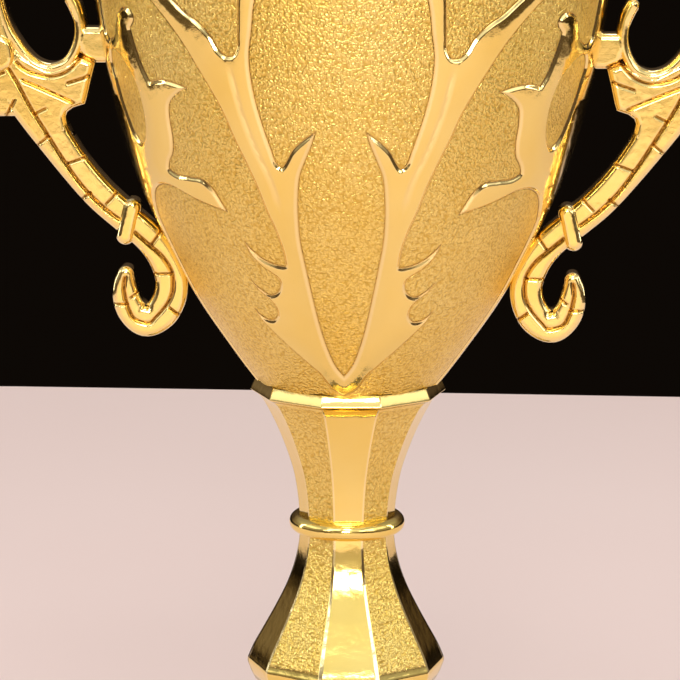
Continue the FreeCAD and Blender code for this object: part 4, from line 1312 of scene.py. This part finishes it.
WHITE = (1.0, 1.0, 1.0)
CUP = (0, 0, 0.15)                      # metres; most lamps point here
LAMPS = [                               # name, place and aim in metres, size, watts, colour
    ("key", (-0.65, -1.15, 1.35), CUP, (0.7, 0.5), 2.8, WHITE),
    ("high_front", (0.3, -1.35, 1.1), CUP, (1.0, 1.0), 1.2, WHITE),
    ("above_camera", (0.0, -1.5, 0.6), (0, 0, 0.2), (0.4, 0.3), 6.5, WHITE),
    ("ceiling_lamp", (0.08, -1.1, 1.4), CUP, (0.3, 0.3), 3.6, WHITE),
    ("overhead", (0.0, -0.35, 1.5), CUP, (1.4, 0.5), 1.0, WHITE),
    ("pool_left", (-0.6, -0.8, 0.6), (-0.1, -0.6, 0), (0.3, 0.3), 0.8, WHITE),
    ("pool_right", (0.6, -0.8, 0.6), (0.1, -0.6, 0), (0.3, 0.3), 0.8, WHITE),
    ("fill", (1.25, -0.9, 0.9), CUP, (0.4, 0.8), 2.6, WHITE),
    ("front", (0.0, -2.0, 0.12), (0, 0, 0.12), (2.2, 0.7), 2.4, (1.0, 0.88, 0.76)),
    ("left_high", (-1.2, -0.26, 0.85), CUP, (0.7, 0.5), 0.8, WHITE),
    ("right_high", (1.2, -0.26, 0.85), CUP, (0.7, 0.5), 0.8, WHITE),
    ("left_strip", (-1.3, 0.25, 0.45), CUP, (0.16, 0.9), 2.5, WHITE),
    ("right_strip", (1.3, 0.35, 0.5), CUP, (0.16, 0.9), 2.5, WHITE),
    ("top_back", (0.1, 0.7, 1.6), CUP, (0.8, 0.4), 4.2, WHITE),
]


def softbox(name, place, aim, size, power, colour):
    light = bpy.data.lights.new(name, "AREA")
    light.shape = "RECTANGLE"
    light.size, light.size_y = size
    light.energy = power
    light.color = colour
    lamp = bpy.data.objects.new(name, light)
    direction = Vector(aim) - Vector(place)
    lamp.rotation_euler = direction.to_track_quat("-Z", "Y").to_euler()
    lamp.location = place
    bpy.context.scene.collection.objects.link(lamp)


def soft_dome():
    """A dark room under a soft ceiling, which is brighter towards the front."""
    world = bpy.data.worlds.new("studio")
    world.use_nodes = True
    tree = world.node_tree
    direction = add(tree, "ShaderNodeTexCoord").outputs["Generated"]
    axes = add(tree, "ShaderNodeSeparateXYZ", Vector=direction)

    def eased(axis, start, end, low_end, high_end):
        return add(tree, "ShaderNodeMapRange", {"interpolation_type": "SMOOTHSTEP"},
                   Value=axes.outputs[axis], From_Min=start, From_Max=end, To_Min=low_end,
                   To_Max=high_end).outputs["Result"]

    ceiling = combine(tree, "MULTIPLY", eased("Z", 0.22, 0.6, 0.0, 1.0), eased("Y", -0.2, 0.5, 0.5, 0.3))
    walls = combine(tree, "MAXIMUM", eased("Z", -0.03, 0.12, 0.004, 0.06), eased("Y", 0.1, 0.7, 0.1, 0.0))
    outward = combine(tree, "ABSOLUTE", axes.outputs["X"], 0.0)
    sides = combine(tree, "MULTIPLY", eased("Z", -0.03, 0.12, 0.0, 0.3), span(tree, outward, -0.8, 1.2))
    light = combine(tree, "ADD", ceiling, combine(tree, "MAXIMUM", walls, sides))
    glow = ramp(tree, light, [(0.03, (1.0, 0.66, 0.42)), (0.4, (1.0, 0.97, 0.93))])
    connect(tree, tree.nodes["Background"], Strength=light, Color=glow)
    bpy.context.scene.world = world


FLOOR_HALF_WIDTH = 780.0                # millimetres; the table top has rounded corners
FLOOR_HALF_DEPTH = 1500.0
FLOOR_BACK = 640.0                      # its far edge behind the trophy


def table_top():
    turns = 2 * math.pi * np.arange(160) / 160
    across, deep = [np.sign(wave) * np.sqrt(np.abs(wave)) for wave in (np.cos(turns), np.sin(turns))]
    edge = columns(FLOOR_HALF_WIDTH * across, FLOOR_HALF_DEPTH * (deep - 1) + FLOOR_BACK, 0.0)
    floor = make_mesh("floor", edge, [tuple(range(len(turns)))])
    material, tree, shader = new_material("floor")
    patches = ramp(tree, noise(tree, 3.0), [(0.3, (0.84, 0.66, 0.62)), (0.7, (0.87, 0.70, 0.66))])
    connect(tree, shader, Base_Color=patches, Roughness=0.8)
    floor.data.materials.append(material)


def studio():
    table_top()
    soft_dome()
    for lamp in LAMPS:
        softbox(*lamp)
    bpy.context.scene.view_settings.view_transform = "Standard"


bowl()
screw_bosses()
handles()
foot()
riser()
calyx()
stem_rings()
riser_seat()
lip()
base_cover()
base_trim()
name_plate()
carried_over()
camera()
studio()
